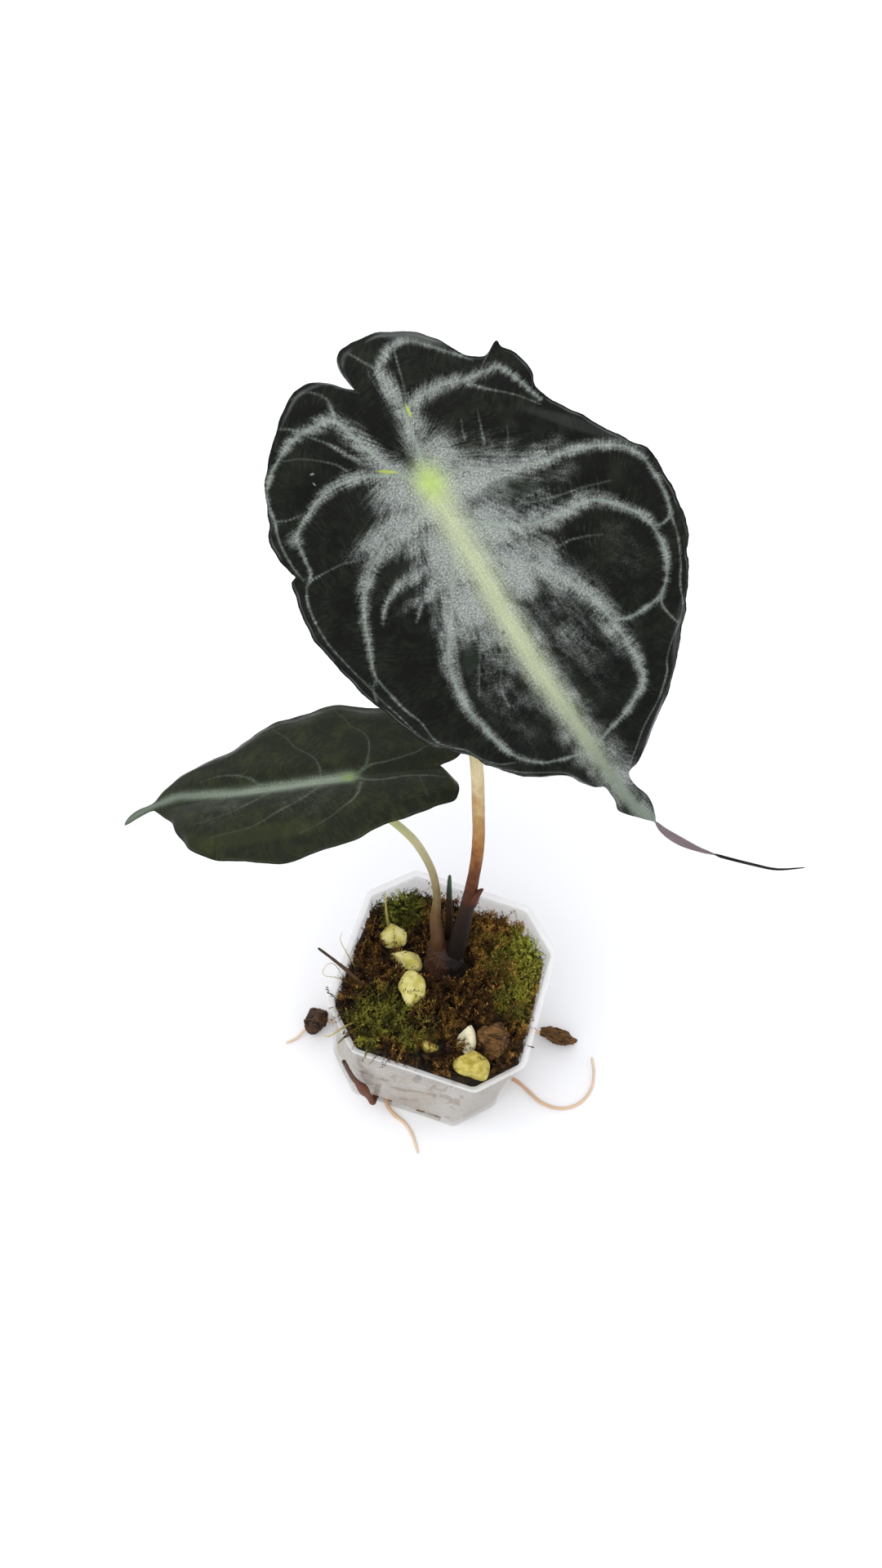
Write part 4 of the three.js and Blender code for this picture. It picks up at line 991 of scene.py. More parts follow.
def grown(name, mesh, tree, **values):
    """A piece made by running a node tree on a mesh; spaces in input names are written as _."""
    source = new_piece(name + " source", mesh)
    modifier = source.modifiers.new("tree", "NODES")
    modifier.node_group = tree
    for item in tree.interface.items_tree:
        key = item.name.replace(" ", "_")
        if item.item_type == "SOCKET" and item.in_out == "INPUT" and key in values:
            modifier[item.identifier] = values[key]
    graph = bpy.context.evaluated_depsgraph_get()
    result = bpy.data.meshes.new_from_object(
        source.evaluated_get(graph), preserve_all_data_layers=True, depsgraph=graph)
    result.name = name
    bpy.data.objects.remove(source)
    return new_piece(name, result)


def keep(piece, slot, *nodes):
    """The piece rides with the plant and stands for the nodes, which it hides; the slot is not used."""
    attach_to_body(piece, "root")
    if nodes:
        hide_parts(*nodes)


def vein_samples(veins, step):
    """Points along every vein: place, direction, distance along, core half width and haze reach."""
    places, ways, distances, cores, reaches = [], [], [], [], []
    for number, (core, haze, line) in enumerate(veins):
        points, along = even_curve(line, step)
        share = along / along[-1]
        places.append(points)
        ways.append(np.gradient(points, axis=0))
        distances.append(along + VEIN_SHIFT * number)
        cores.append(core[0] + (core[1] - core[0]) * share)
        reaches.append(np.interp(share, [0.0, 0.45, 1.0], haze))
    ways = np.vstack(ways)
    ways /= np.linalg.norm(ways, axis=1)[:, None]
    return np.vstack(places), ways, *(np.concatenate(rows) for rows in (distances, cores, reaches))


def vein_fields(flat, veins, patches):
    """What each point of a blade has to know about the veins around it."""
    places, ways, distances, cores, _ = vein_samples(veins, FINE_VEIN_STEP)
    tree = KDTree(len(places))
    for i, (x, y) in enumerate(places):
        tree.insert((x, y, 0.0), i)
    tree.balance()
    found = [tree.find((x, y, 0.0)) for x, y in flat]
    nearest = np.array([f[1] for f in found])
    offset = flat - places[nearest]
    side = ways[nearest, 0] * offset[:, 1] - ways[nearest, 1] * offset[:, 0]
    reach = np.linalg.norm(offset, axis=1)

    haze = np.zeros(len(flat))
    for x, y, half_x, half_y, strength in patches:
        spread = ((flat[:, 0] - x) / half_x) ** 2 + ((flat[:, 1] - y) / half_y) ** 2
        haze = np.maximum(haze, 1.15 * strength * np.exp(-0.8 * spread))
    main = np.full(len(flat), 1e3)
    for vein in veins:
        spots, _, _, core, reaches = vein_samples([vein], VEIN_STEP)
        squares = ((flat[:, None, :] - spots[None, :, :]) ** 2).sum(axis=2)
        strength = np.interp(reaches, *HAZE_STRENGTH)
        haze = np.maximum(haze, np.max(strength * np.exp(-0.9 * squares / reaches**2), axis=1))
        if core[0] > MAIN_VEIN_CORE:
            main = np.minimum(main, np.sqrt(squares.min(axis=1)))
        if vein is veins[0]:
            midrib = np.exp(-0.9 * np.min(squares / (1.25 * core) ** 2, axis=1))
    glow = np.exp(-(flat[:, 0] ** 2 + (0.75 * flat[:, 1]) ** 2) / (1.15 * veins[0][0][0]) ** 2)
    return {
        "vein_side": side,
        "vein_reach": reach,
        "vein_width": cores[nearest],
        "vein_flow": np.column_stack([distances[nearest], reach, np.zeros(len(flat))]),
        "haze": haze,
        "main": main,
        "midrib": midrib,
        "glow": glow,
    }


def main_lift(x, y, share, row):
    """Height of the big leaf over its plane: it hangs towards the tip and the lobes fold back."""
    reach = np.abs(x)
    hang = np.where(y > 0, -8.0 * (y / 85.0) ** 2, -3.0 * (y / 32.0) ** 2)
    trough = 2.0 * np.sin(np.clip(reach / 15.0, 0.0, 1.0) * math.pi / 2.0)
    arch = -6.0 * np.maximum(0.0, reach - 10.0) ** 2 / 1156.0
    body = np.clip(1.0 - np.maximum(0.0, y) / 90.0, 0.0, 1.0)
    margin = smoothstep(0.6, 1.0, np.abs(share))
    fold_back = np.where(share > 0, 4.5 * np.exp(-(((row - 12.5) / 5.5) ** 2)), 0.0)
    blade = 1.0 - smoothstep(36.0, 42.0, row)
    ripple = 0.5 * np.sin(row * 1.9 + (share > 0)) * smoothstep(0.8, 1.0, np.abs(share))
    return hang + (trough + arch) * body - blade * (margin * (1.0 + fold_back) - ripple)


def small_lift(x, y, share, row):
    """Height of the small leaf over its plane: its front half arches down, its back stays up."""
    reach = np.abs(x)
    hang = np.where(y > 0, -4.0 * (y / 57.0) ** 2, -1.5 * (y / 26.0) ** 2)
    trough = 0.9 * np.sin(np.clip(reach / 8.0, 0.0, 1.0) * math.pi / 2.0)
    spread = np.maximum(0.0, reach - 8.0) ** 2
    arch = np.where(x > 0, -2.4 * spread / 324.0, 1.2 * spread / 400.0)
    margin = smoothstep(0.75, 1.0, np.abs(share))
    blade = 1.0 - smoothstep(20.0, 24.0, row)
    ripple = 0.35 * np.sin(row * 2.1) * margin
    return hang + blade * (trough + arch - 0.8 * margin + ripple)


def blade_lines(ribs, drip_tip):
    """Left margin, midrib and right margin of a blade with its drip tip, and its thickness."""
    rows = [np.array(rib, float).reshape(3, 2) for rib in ribs]
    bodies = [1.0] * len(rows)
    for i, (x, y, half) in enumerate(drip_tip):
        after = drip_tip[min(i + 1, len(drip_tip) - 1)]
        before = drip_tip[max(i - 1, 0)]
        way = unit((after[0] - before[0], after[1] - before[1]))
        out = np.array([way[1], -way[0]]) * half
        middle = np.array([x, y], float)
        rows.append(np.array([middle - out, middle, middle + out]))
        bodies.append(RIBBON_THICKNESS / LEAF_THICKNESS)
    end = rows[-1][1] + (0.4, 0.3)
    rows.append(np.array([end, end, end]))
    bodies.append(0.6)
    return np.array(rows), np.array(bodies)


def spread_rows(lines, count, drip_start, drip_share):
    """Fractional rows at even steps, with the drip tip sampled more sparsely."""
    rows = np.linspace(0.0, len(lines) - 1.0, 6000)
    paths = [curve_through(lines[:, k], rows) for k in range(3)]
    steps = np.max([np.linalg.norm(np.diff(path, axis=0), axis=1) for path in paths], axis=0)
    weight = np.where(rows[1:] < drip_start, 1.0, drip_share)
    travelled = np.concatenate([[0.0], np.cumsum(steps * weight)])
    return np.interp(np.linspace(0.0, travelled[-1], count), travelled, rows)


def waviness(rows):
    """How uneven a margin is: calm along the lobes, rougher towards the tip."""
    return 0.35 + 0.65 * smoothstep(24.0, 31.0, rows)


def blade_sheet(leaf, rows, shares):
    """Flat places of a grid of rows along and shares across the blade."""
    left, middle, right = (curve_through(leaf["lines"][:, k], rows) for k in range(3))
    grid = np.repeat(shares[None, :], len(rows), axis=0)
    grid[[0, -1]] = 0.0
    outer = np.where(grid[..., None] < 0, left[:, None, :], right[:, None, :])
    jag = 0.008 * (np.sin(3.7 * rows) + 0.6 * np.sin(6.1 * rows + 1.0) + 0.25 * np.sin(17.9 * rows))
    jag = jag * waviness(rows) * (1.0 - smoothstep(leaf["drip_start"] - 3.0, leaf["drip_start"], rows))
    pull = jag[:, None] * smoothstep(0.85, 1.0, np.abs(grid))
    for row, depth in leaf["nicks"]:
        bite = np.where(rows < row, depth * np.exp((rows - row) / NICK_FADE), 0.0)
        pull = pull - bite[:, None] * smoothstep(0.88, 1.0, -grid)
    outer = outer + pull[..., None] * (outer - middle[:, None, :])
    flat = middle[:, None, :] + np.abs(grid)[..., None] * (outer - middle[:, None, :])
    return flat, grid, middle


def blade_places(leaf, rows, shares, side):
    """Places on the upper (side 1) or lower (side -1) face, and what the veins say there."""
    flat, grid, middle = blade_sheet(leaf, rows, shares)
    row = np.repeat(rows[:, None], len(shares), axis=1)
    fields = vein_fields(flat.reshape(-1, 2), leaf["veins"], leaf["patches"])
    blade = 1.0 - smoothstep(leaf["drip_start"] - 8.0, leaf["drip_start"], row)
    cushion = 1.0 - np.exp(-((fields["main"].reshape(row.shape) / 3.2) ** 2))
    rim = 1.0 - np.abs(grid)
    cushion = cushion * smoothstep(0.0, 0.12, rim) * blade
    lift = leaf["lift"](flat[..., 0], flat[..., 1], grid, row) + leaf["cushion"] * cushion
    groove = np.exp(-((fields["vein_reach"].reshape(row.shape) / 0.55) ** 2))
    strong = smoothstep(0.05, 0.35, fields["vein_width"].reshape(row.shape))
    lift -= leaf["groove"] * groove * strong * blade
    wave = np.sin(1.0 * flat[..., 0] + 0.7 * flat[..., 1] + 1.3 * np.sin(0.3 * flat[..., 0]))
    lift += leaf["ruffle"] * waviness(row) * wave * smoothstep(0.78, 1.0, np.abs(grid)) * blade
    if side < 0:
        lift -= 0.2 * smoothstep(0.6, 0.8, np.abs(grid)) * blade

    along = unit(leaf["along"])
    across = unit(leaf["across"])
    outward = face_way(across, along)
    turn = np.zeros(len(rows))
    for start, end in leaf["twists"]:
        turn += math.pi * smoothstep(start, end, rows)
    spine = middle[:, None, :]
    aside = flat - spine
    shown = spine + aside * np.cos(turn)[:, None, None]
    span = np.abs(grid) * np.linalg.norm(aside, axis=2) / np.maximum(np.abs(grid), 1e-9)
    rise = np.sign(grid) * span * np.sin(turn)[:, None]
    body = np.interp(rows, np.arange(len(leaf["bodies"])), leaf["bodies"])[:, None]
    lens = np.sqrt(np.maximum(0.0, 1.0 - grid**4))
    lens[[0, -1]] = 0.0
    half = side * 0.5 * LEAF_THICKNESS * body * lens
    lean = np.where(turn > 0.0, 1.0, 0.0)[:, None]
    sideways = unit_rows(aside) * np.sign(grid)[..., None]
    shown = shown - sideways * (lean * half * np.sin(turn)[:, None])[..., None]
    depth = lift + rise + half * np.cos(turn)[:, None]
    place = (np.asarray(leaf["attach"]) + shown[..., :1] * across + shown[..., 1:] * along
             + depth[..., None] * outward)
    widths = np.linalg.norm(curve_through(leaf["lines"][:, 2], rows)
                            - curve_through(leaf["lines"][:, 0], rows), axis=1) / 2.0
    fields["margin"] = (rim * widths[:, None]).ravel()
    fields["flat"] = np.concatenate([flat, np.zeros((*row.shape, 1))], axis=2).reshape(-1, 3)
    return place, fields


def face_way(across, along):
    """Direction that a blade's upper face looks in."""
    way = unit(np.cross(unit(across), unit(along)))
    return way if way[2] > 0 else -way


def leaf_seat(attach, across, along):
    """Point just under a blade where its stalk ends."""
    return tuple(np.asarray(attach) - face_way(across, along) * LEAF_THICKNESS * 0.3)


def unit_rows(vectors):
    lengths = np.linalg.norm(vectors, axis=-1, keepdims=True)
    return vectors / np.maximum(lengths, 1e-9)


def grid_faces(index):
    """Faces of a grid of points, given by their numbers."""
    corners = [index[:-1, :-1], index[:-1, 1:], index[1:, 1:], index[1:, :-1]]
    return np.stack(corners, axis=-1).reshape(-1, 4).tolist()


def leaf_piece(name, leaf, upper, lower):
    """A closed blade: a fine upper face, and a coarser lower face stitched to its margin."""
    count = leaf["stations"] * FACE_RATIO + 1
    rows = spread_rows(leaf["lines"], count, leaf["drip_start"], leaf["drip_share"])
    shares = np.linspace(-1.0, 1.0, leaf["columns"] + 1)
    inner = np.linspace(-LOWER_SHARE, LOWER_SHARE, leaf["columns"] // FACE_RATIO)
    top, fields = blade_places(leaf, rows, shares, 1)
    under, under_fields = blade_places(leaf, rows[::FACE_RATIO], inner, -1)
    wide = len(shares)
    top_index = np.arange(count * wide).reshape(count, wide)
    under_index = count * wide + np.arange(under.shape[0] * under.shape[1]).reshape(under.shape[:2])
    faces = grid_faces(top_index)
    top_count = len(faces)
    faces += [(a, d, c, b) for a, b, c, d in grid_faces(under_index)]
    for column, edge, flip in ((0, 0, False), (wide - 1, -1, True)):
        for j in range(under.shape[0] - 1):
            first, second, third = (int(top_index[j * FACE_RATIO + k, column]) for k in range(3))
            near, far = int(under_index[j, edge]), int(under_index[j + 1, edge])
            strip = [(first, second, near), (second, far, near), (second, third, far)]
            faces += [face[::-1] if flip else face for face in strip]
    points = np.concatenate([top.reshape(-1, 3), under.reshape(-1, 3)])
    mesh = mesh_from(name, points, faces)
    for key, values in fields.items():
        kind = "FLOAT" if values.ndim == 1 else "FLOAT_VECTOR"
        if key != "main":
            set_values(mesh, key, np.concatenate([values, under_fields[key]]), kind)
    mesh.materials.append(upper)
    mesh.materials.append(lower)
    index = np.zeros(len(faces), np.int32)
    index[top_count:] = 1
    mesh.polygons.foreach_set("material_index", index)
    close_up(mesh)
    mesh.set_sharp_from_angle(angle=math.radians(75))
    return new_piece(name, mesh)


def close_up(mesh, distance=0.002):
    """Merges doubled points, drops collapsed faces and turns every face outwards."""
    work = bmesh.new()
    work.from_mesh(mesh)
    bmesh.ops.remove_doubles(work, verts=work.verts, dist=distance * MM)
    bmesh.ops.dissolve_degenerate(work, edges=work.edges, dist=1e-7)
    bmesh.ops.recalc_face_normals(work, faces=work.faces)
    for face in work.faces:
        face.smooth = True
    work.to_mesh(mesh)
    work.free()


def leaf_facts(ribs, drip_tip, **facts):
    lines, bodies = blade_lines(ribs, drip_tip)
    return {"lines": lines, "bodies": bodies, "drip_start": len(ribs) - 1.0, **facts}


def bar_mesh(name, path, radius_at, step):
    """A line of points with its thickness, for the swept bar tree."""
    points, along = even_curve(path, step)
    edges = [(i, i + 1) for i in range(len(points) - 1)]
    mesh = mesh_from(name, points, edges=edges)
    set_values(mesh, "thickness", radius_at(along / along[-1]) * MM)
    return mesh


def round_ends(share, length, radius):
    """Radius factor that closes both ends of a bar softly."""
    near = np.minimum(share, 1.0 - share) * length / radius
    return np.sqrt(np.clip(1.0 - (1.0 - np.clip(near, 0.02, 1.0)) ** 2, 0.0, 1.0))


def pot_ring(half):
    """Square with cut, slightly rounded corners, as points around."""
    inner = half * (1.0 - POT_CORNER_CUT)
    side = [(half, y) for y in np.linspace(-inner, inner, SIDE_POINTS)]
    shares = np.linspace(0, 1, QUARTER_POINTS - SIDE_POINTS + 2)[1:-1]
    cut = [(half + (inner - half) * t, inner + (half - inner) * t) for t in shares]
    quarter = np.array(side + cut)
    turns = [np.array([[math.cos(a), math.sin(a)], [-math.sin(a), math.cos(a)]])
             for a in np.arange(4) * math.pi / 2]
    ring = np.vstack([quarter @ turn for turn in turns])
    return sum(np.roll(ring, k, axis=0) for k in (-1, 0, 1)) / 3.0


def level_ring(half, z):
    return np.column_stack([pot_ring(half), np.full(RING_POINTS, z)])


def wall_half(z):
    """Half width of the pot wall's outer face at a height."""
    return POT_BASE_HALF + (POT_RIM_HALF - POT_LIP_WIDTH - POT_BASE_HALF) * z / POT_HEIGHT


def creased(points):
    """Pot walls with short straight dents pressed in at random, away from the rim and the foot."""
    rng = np.random.default_rng(CREASE_SEED)
    moved = points.copy()
    for side in range(4):
        normal = np.array([math.cos(side * math.pi / 2), math.sin(side * math.pi / 2), 0.0])
        aside = np.array([-normal[1], normal[0], 0.0])
        u = points @ aside
        z = points[:, 2]
        facing = smoothstep(22.0, 26.0, points @ normal)
        facing *= smoothstep(8.5, 13.0, z) * smoothstep(51.0, 45.0, z)
        for _ in range(CREASES_PER_SIDE):
            start = rng.uniform(*CREASE_PLACES)
            heading = rng.uniform(0.0, math.pi)
            length = rng.uniform(*CREASE_LENGTHS)
            way = np.array([math.cos(heading), math.sin(heading)])
            offset = np.column_stack([u, z]) - start
            along = offset @ way
            beyond = np.maximum(0.0, np.abs(along) - length / 2.0)
            apart = np.abs(offset @ np.array([-way[1], way[0]]))
            dent = rng.uniform(*CREASE_DEPTHS) * np.exp(-apart / CREASE_ASIDE)
            dent = dent * np.exp(-((beyond / CREASE_BEYOND) ** 2))
            moved -= normal * (dent * facing)[:, None]
    return moved


def ring_faces(rings, around):
    """Faces between stacked rings."""
    faces = []
    for j in range(rings - 1):
        for i in range(around):
            after = (i + 1) % around
            faces.append((j * around + i, j * around + after,
                          (j + 1) * around + after, (j + 1) * around + i))
    return faces


def closed_stack(name, rings):
    """A closed mesh through stacked rings, with a lid at both ends."""
    around = len(rings[0])
    points = np.vstack(rings)
    faces = ring_faces(len(rings), around)
    faces += [tuple(range(around - 1, -1, -1)), tuple(range(len(points) - around, len(points)))]
    mesh = mesh_from(name, points, faces)
    close_up(mesh)
    return mesh


def moss_height(x, y):
    bumps = np.sin(x * 0.55 + 1.3) * np.cos(y * 0.47) + 0.6 * np.sin(x * 0.31 - y * 0.62)
    sink = 0.8 * smoothstep(19.0, 29.0, np.hypot(x, y))
    return MOSS_MIDDLE - MOSS_SLOPE * y + MOSS_BUMP * bumps - sink


def camera():
    """Camera at the photograph's viewing angle."""
    pitch, roll, turn = (math.radians(a) for a in (CAMERA_PITCH, CAMERA_ROLL, CAMERA_TURN))
    spin = Matrix.Rotation(turn, 3, "Z")
    forward = spin @ Vector((0.0, math.cos(pitch), -math.sin(pitch)))
    level_up = Vector((0.0, math.sin(pitch), math.cos(pitch)))
    level_right = Vector((1.0, 0.0, 0.0))
    right = spin @ (math.cos(roll) * level_right + math.sin(roll) * level_up)
    up = spin @ (math.cos(roll) * level_up - math.sin(roll) * level_right)
    across = RIM_PIXEL[0] - FRAME_WIDTH / 2
    down = RIM_PIXEL[1] - FRAME_HEIGHT / 2
    ray = (forward * FOCAL_PIXELS + right * across - up * down).normalized()
    data = bpy.data.cameras.new("camera")
    data.sensor_width = SENSOR_WIDTH
    data.lens = FOCAL_PIXELS * SENSOR_WIDTH / FRAME_HEIGHT
    data.clip_start = 0.01
    data.clip_end = 20.0
    viewer = bpy.data.objects.new("camera", data)
    bpy.context.scene.collection.objects.link(viewer)
    axes = Matrix((right, up, -forward)).transposed().to_4x4()
    viewer.matrix_world = Matrix.Translation((RIM_CENTRE - ray * RIM_DISTANCE) * MM) @ axes
    bpy.context.scene.camera = viewer


def studio():
    """Pale floor, pale surroundings and one soft light high above."""
    half = FLOOR_HALF / MM
    corners = [(-half, -half, 0), (half, -half, 0), (half, half, 0), (-half, half, 0)]
    mesh = mesh_from("floor", corners, [(0, 1, 2, 3)])
    mesh.materials.append(floor_finish("pale floor"))
    new_piece("floor", mesh)
    world = bpy.data.worlds.new("studio")
    world.use_nodes = True
    background = world.node_tree.nodes["Background"]
    background.inputs["Color"].default_value = SKY_COLOUR
    background.inputs["Strength"].default_value = SKY_STRENGTH
    bpy.context.scene.world = world
    light = bpy.data.lights.new("soft light", "AREA")
    light.shape = "DISK"
    light.size = LAMP_SIZE
    light.energy = LAMP_POWER
    lamp = bpy.data.objects.new("soft light", light)
    bpy.context.scene.collection.objects.link(lamp)
    lamp.location = LAMP_PLACE
    lamp.rotation_euler = (LAMP_AIM - LAMP_PLACE).to_track_quat("-Z", "Y").to_euler()
    bpy.context.scene.view_settings.view_transform = "Standard"


def leaves():
    main_upper = velvet("main leaf velvet", MAIN_TINT, (38.0, 86.0), MAIN_MARKS)
    small_upper = velvet("small leaf velvet", SMALL_TINT, (10.0, 50.0), SMALL_MARKS)
    under = leaf_underside("leaf underside")
    main = leaf_facts(
        MAIN_RIBS, MAIN_DRIP_TIP, attach=MAIN_ATTACH, along=MAIN_ALONG, across=MAIN_ACROSS,
        lift=main_lift, veins=MAIN_VEINS, patches=MAIN_PATCHES, cushion=0.9, groove=0.25, ruffle=0.35,
        twists=[(43.3, 44.7), (49.0, 50.1)], nicks=MAIN_NICKS, stations=165, columns=220, drip_share=0.45)
    small = leaf_facts(
        SMALL_RIBS, SMALL_DRIP_TIP, attach=SMALL_ATTACH, along=SMALL_ALONG, across=SMALL_ACROSS,
        lift=small_lift, veins=SMALL_VEINS, patches=SMALL_PATCHES, cushion=0.5, groove=0.15, ruffle=0.2,
        twists=[], nicks=[], stations=110, columns=160, drip_share=0.6)
    keep(leaf_piece("main_blade", main, main_upper, under), "leaf", "main_leaf")
    keep(leaf_piece("small_blade", small, small_upper, under), "leaf", "small_leaf")


def bar_piece(bar, name, colours, line, radius_at, step, slot, *nodes, gloss=0.45, fibre_depth=0.1,
              **shape):
    """A stalk, root or strand swept along a line of points, and kept."""
    finish = stalk_finish(name, STALK_COLOURS[colours], fibre_depth, gloss)
    piece = grown(name, bar_mesh(name, line, radius_at, step), bar, Material=finish, **shape)
    keep(piece, slot, *nodes)


def stalks(bar):
    """Both leaf stalks, the lip of the big one's sheath and the rolled new leaf."""
    bar_piece(
        bar, "main_stalk", "main_stalk",
        [*MAIN_PETIOLE_PATH, leaf_seat(MAIN_ATTACH, MAIN_ACROSS, MAIN_ALONG)],
        lambda t: 1.9 * (0.86 + 0.62 * (1.0 - smoothstep(0.0, 0.27, t))), 0.8,
        "petiole", "main_petiole", gloss=0.6,
        Sides=28, Ridges=9.0, Ridge_depth=0.04, Lump_width=0.7, Lump_length=9.0, Lump_depth=0.25)
    bar_piece(
        bar, "sheath_lip", "lip", SHEATH_LIP, lambda t: 1.5 * (1.0 - t) ** 0.6 + 0.15, 0.3, "petiole",
        Sides=16, Lump_width=0.7, Lump_length=2.0, Lump_depth=0.2)
    bar_piece(
        bar, "small_stalk", "small_stalk",
        [*SMALL_PETIOLE_PATH, leaf_seat(SMALL_ATTACH, SMALL_ACROSS, SMALL_ALONG)],
        lambda t: 1.15 * (0.95 + 0.95 * (1.0 - smoothstep(0.02, 0.35, t))), 0.6,
        "pale_petiole", "small_petiole", Seed=5.0,
        Sides=24, Ridges=7.0, Ridge_depth=0.03, Lump_width=0.7, Lump_length=7.0, Lump_depth=0.18)
    bar_piece(
        bar, "rolled_shoot", "shoot", NEW_SHOOT_PATH, lambda t: 0.3 + 0.95 * (1.0 - t) ** 0.5, 0.6,
        "shoot", "new_shoot", Sides=16, Ridges=5.0, Ridge_depth=0.05, Lump_depth=0.2)


def roots(bar):
    """Roots that leave the pot near its base, one of them dark and swollen, and the twig."""
    for name, line in ROOTS.items():
        radius = ROOT_RADII[name]
        dark = name == "root_climbing"
        swelling = 0.75 if dark else 0.0

        def radius_at(t):
            body = radius * (1.1 - 0.45 * t) + swelling * np.exp(-(((t - 0.42) / 0.09) ** 2))
            return body * round_ends(t, 40.0, radius)

        kind, fibre_depth, gloss = ("dark_root", 0.1, 0.65) if dark else ("pale_root", 0.05, 0.6)
        bar_piece(
            bar, name + "_fine", kind, line, radius_at, 0.35, kind, name, gloss=gloss,
            fibre_depth=fibre_depth, Sides=16, Lump_width=0.8, Lump_length=2.5, Lump_depth=0.3,
            Seed=radius * 50.0)
    bar_piece(
        bar, "broken_twig", "twig", TWIG_PATH,
        lambda t: (0.75 - 0.45 * t) * round_ends(t, 18.0, 0.7), 0.3, "dark_root", "twig",
        Sides=14, Ridges=5.0, Ridge_depth=0.06, Lump_width=0.6, Lump_length=2.0, Lump_depth=0.3, Seed=3.0)


def lump_mesh(name, facts, subdivisions, roughness, cuts=0, depth=0.0, growth=1.0):
    """Lump with a few soft bulges, in place; cuts break flat faces off it down to a depth."""
    centre, half, turn, seed = facts
    rng = np.random.default_rng(seed)
    ways = [Vector(way) for way in rng.normal(size=(cuts, 3))]
    depths = rng.uniform(depth, depth + 0.22, cuts)
    work = bmesh.new()
    bmesh.ops.create_icosphere(work, subdivisions=subdivisions, radius=1.0)
    spin = Matrix.Rotation(math.radians(turn), 3, "Z")
    for vertex in work.verts:
        for way, limit in zip(ways, depths):
            out = way.normalized()
            vertex.co -= out * max(0.0, vertex.co.dot(out) - limit)
        vertex.co *= growth
        x, y, z = vertex.co
        wave = (math.sin(3 * x + seed) * math.cos(2.6 * y - seed) + math.sin(3.3 * z + 2 * seed) * 0.7)
        bulge = 1.0 + roughness * wave
        shape = Vector((x * half[0], y * half[1], z * half[2])) * bulge
        vertex.co = (spin @ shape + Vector(centre)) * MM
    mesh = bpy.data.meshes.new(name)
    work.to_mesh(mesh)
    work.free()
    return mesh


def grains(skin):
    # The last colour of each finish is painted shade for the pits
    tinted = pumice_finish("tinted pumice", (228, 220, 150), (196, 184, 92), (140, 128, 56))
    white = pumice_finish("white pumice", (232, 226, 198), (214, 206, 164), (160, 148, 110))
    olive = pumice_finish("olive pumice", (200, 186, 104), (158, 140, 56), (106, 88, 34))
    for name, facts in GRAINS.items():
        finish = {"grain_white": white, "grain_corner": olive, "grain_small": olive}.get(name, tinted)
        slot = "white_pumice" if name == "grain_white" else "pumice"
        fineness = 4 if name == "grain_small" else 5
        mesh = lump_mesh(name, facts, fineness, 0.08, cuts=9, depth=0.62, growth=1.12)
        piece = grown(name + "_fine", mesh, skin, Lump_size=2.6, Lump_depth=0.5, Grit_size=0.6,
                      Grit_depth=0.16, Pit_size=0.8, Pit_depth=0.12, Seed=facts[3] * 7.0, Material=finish)
        keep(piece, slot, name)


def chips(skin):
    bark = bark_finish("damp bark", (26, 15, 8), (124, 88, 46))
    rotten = bark_finish("rotten bark", (14, 8, 6), (92, 68, 50))
    for name, facts in CHIPS.items():
        finish = rotten if name == "bark_chip_left" else bark
        mesh = lump_mesh(name, facts, 5, 0.12, cuts=12, depth=0.6, growth=CHIP_GROWTH[name])
        piece = grown(name + "_fine", mesh, skin, Stretch=(0.5, 1.3, 1.3), Lump_size=2.6, Lump_depth=2.6,
                      Grit_size=0.7, Grit_depth=0.8, Pit_size=1.4, Pit_depth=0.4, Seed=facts[3] * 5.0,
                      Material=finish)
        keep(piece, "bark", name)


def pot_profile():
    """Half widths and heights of the pot's outer face, from the middle of its foot to the rim."""
    lip_foot = POT_HEIGHT - POT_LIP_HEIGHT
    profile = [(half, 0.0) for half in (4.0, 9.0, 14.0, 19.0, 23.5)]
    profile += [(POT_BASE_HALF - 0.9, 0.0), (wall_half(0.3) - 0.25, 0.2), (wall_half(0.8), 0.8)]
    profile += [(wall_half(z), z) for z in (SLOT_FOOT, 3.1, 4.6, 6.1, SLOT_FOOT + SLOT_HEIGHT)]
    profile += [(wall_half(z), z) for z in np.linspace(8.4, lip_foot - 0.4, WALL_RINGS)]
    profile += [(POT_RIM_HALF - 0.15, lip_foot), (POT_RIM_HALF, lip_foot + 0.3),
                (POT_RIM_HALF, POT_HEIGHT - 0.25), (POT_RIM_HALF - 0.2, POT_HEIGHT)]
    return profile


def in_slot(face, heights):
    """Whether a face of the wall lies where one of the eight slots is cut."""
    ring = face[0] // RING_POINTS
    column = face[0] % QUARTER_POINTS
    aside = abs(column - SIDE_POINTS // 2 + 0.5)
    level = heights[ring] >= SLOT_FOOT - 0.01 and heights[ring + 1] <= SLOT_FOOT + SLOT_HEIGHT + 0.01
    return level and column < SIDE_POINTS - 1 and abs(aside - SLOT_OFFSET) <= SLOT_WIDTH / 2


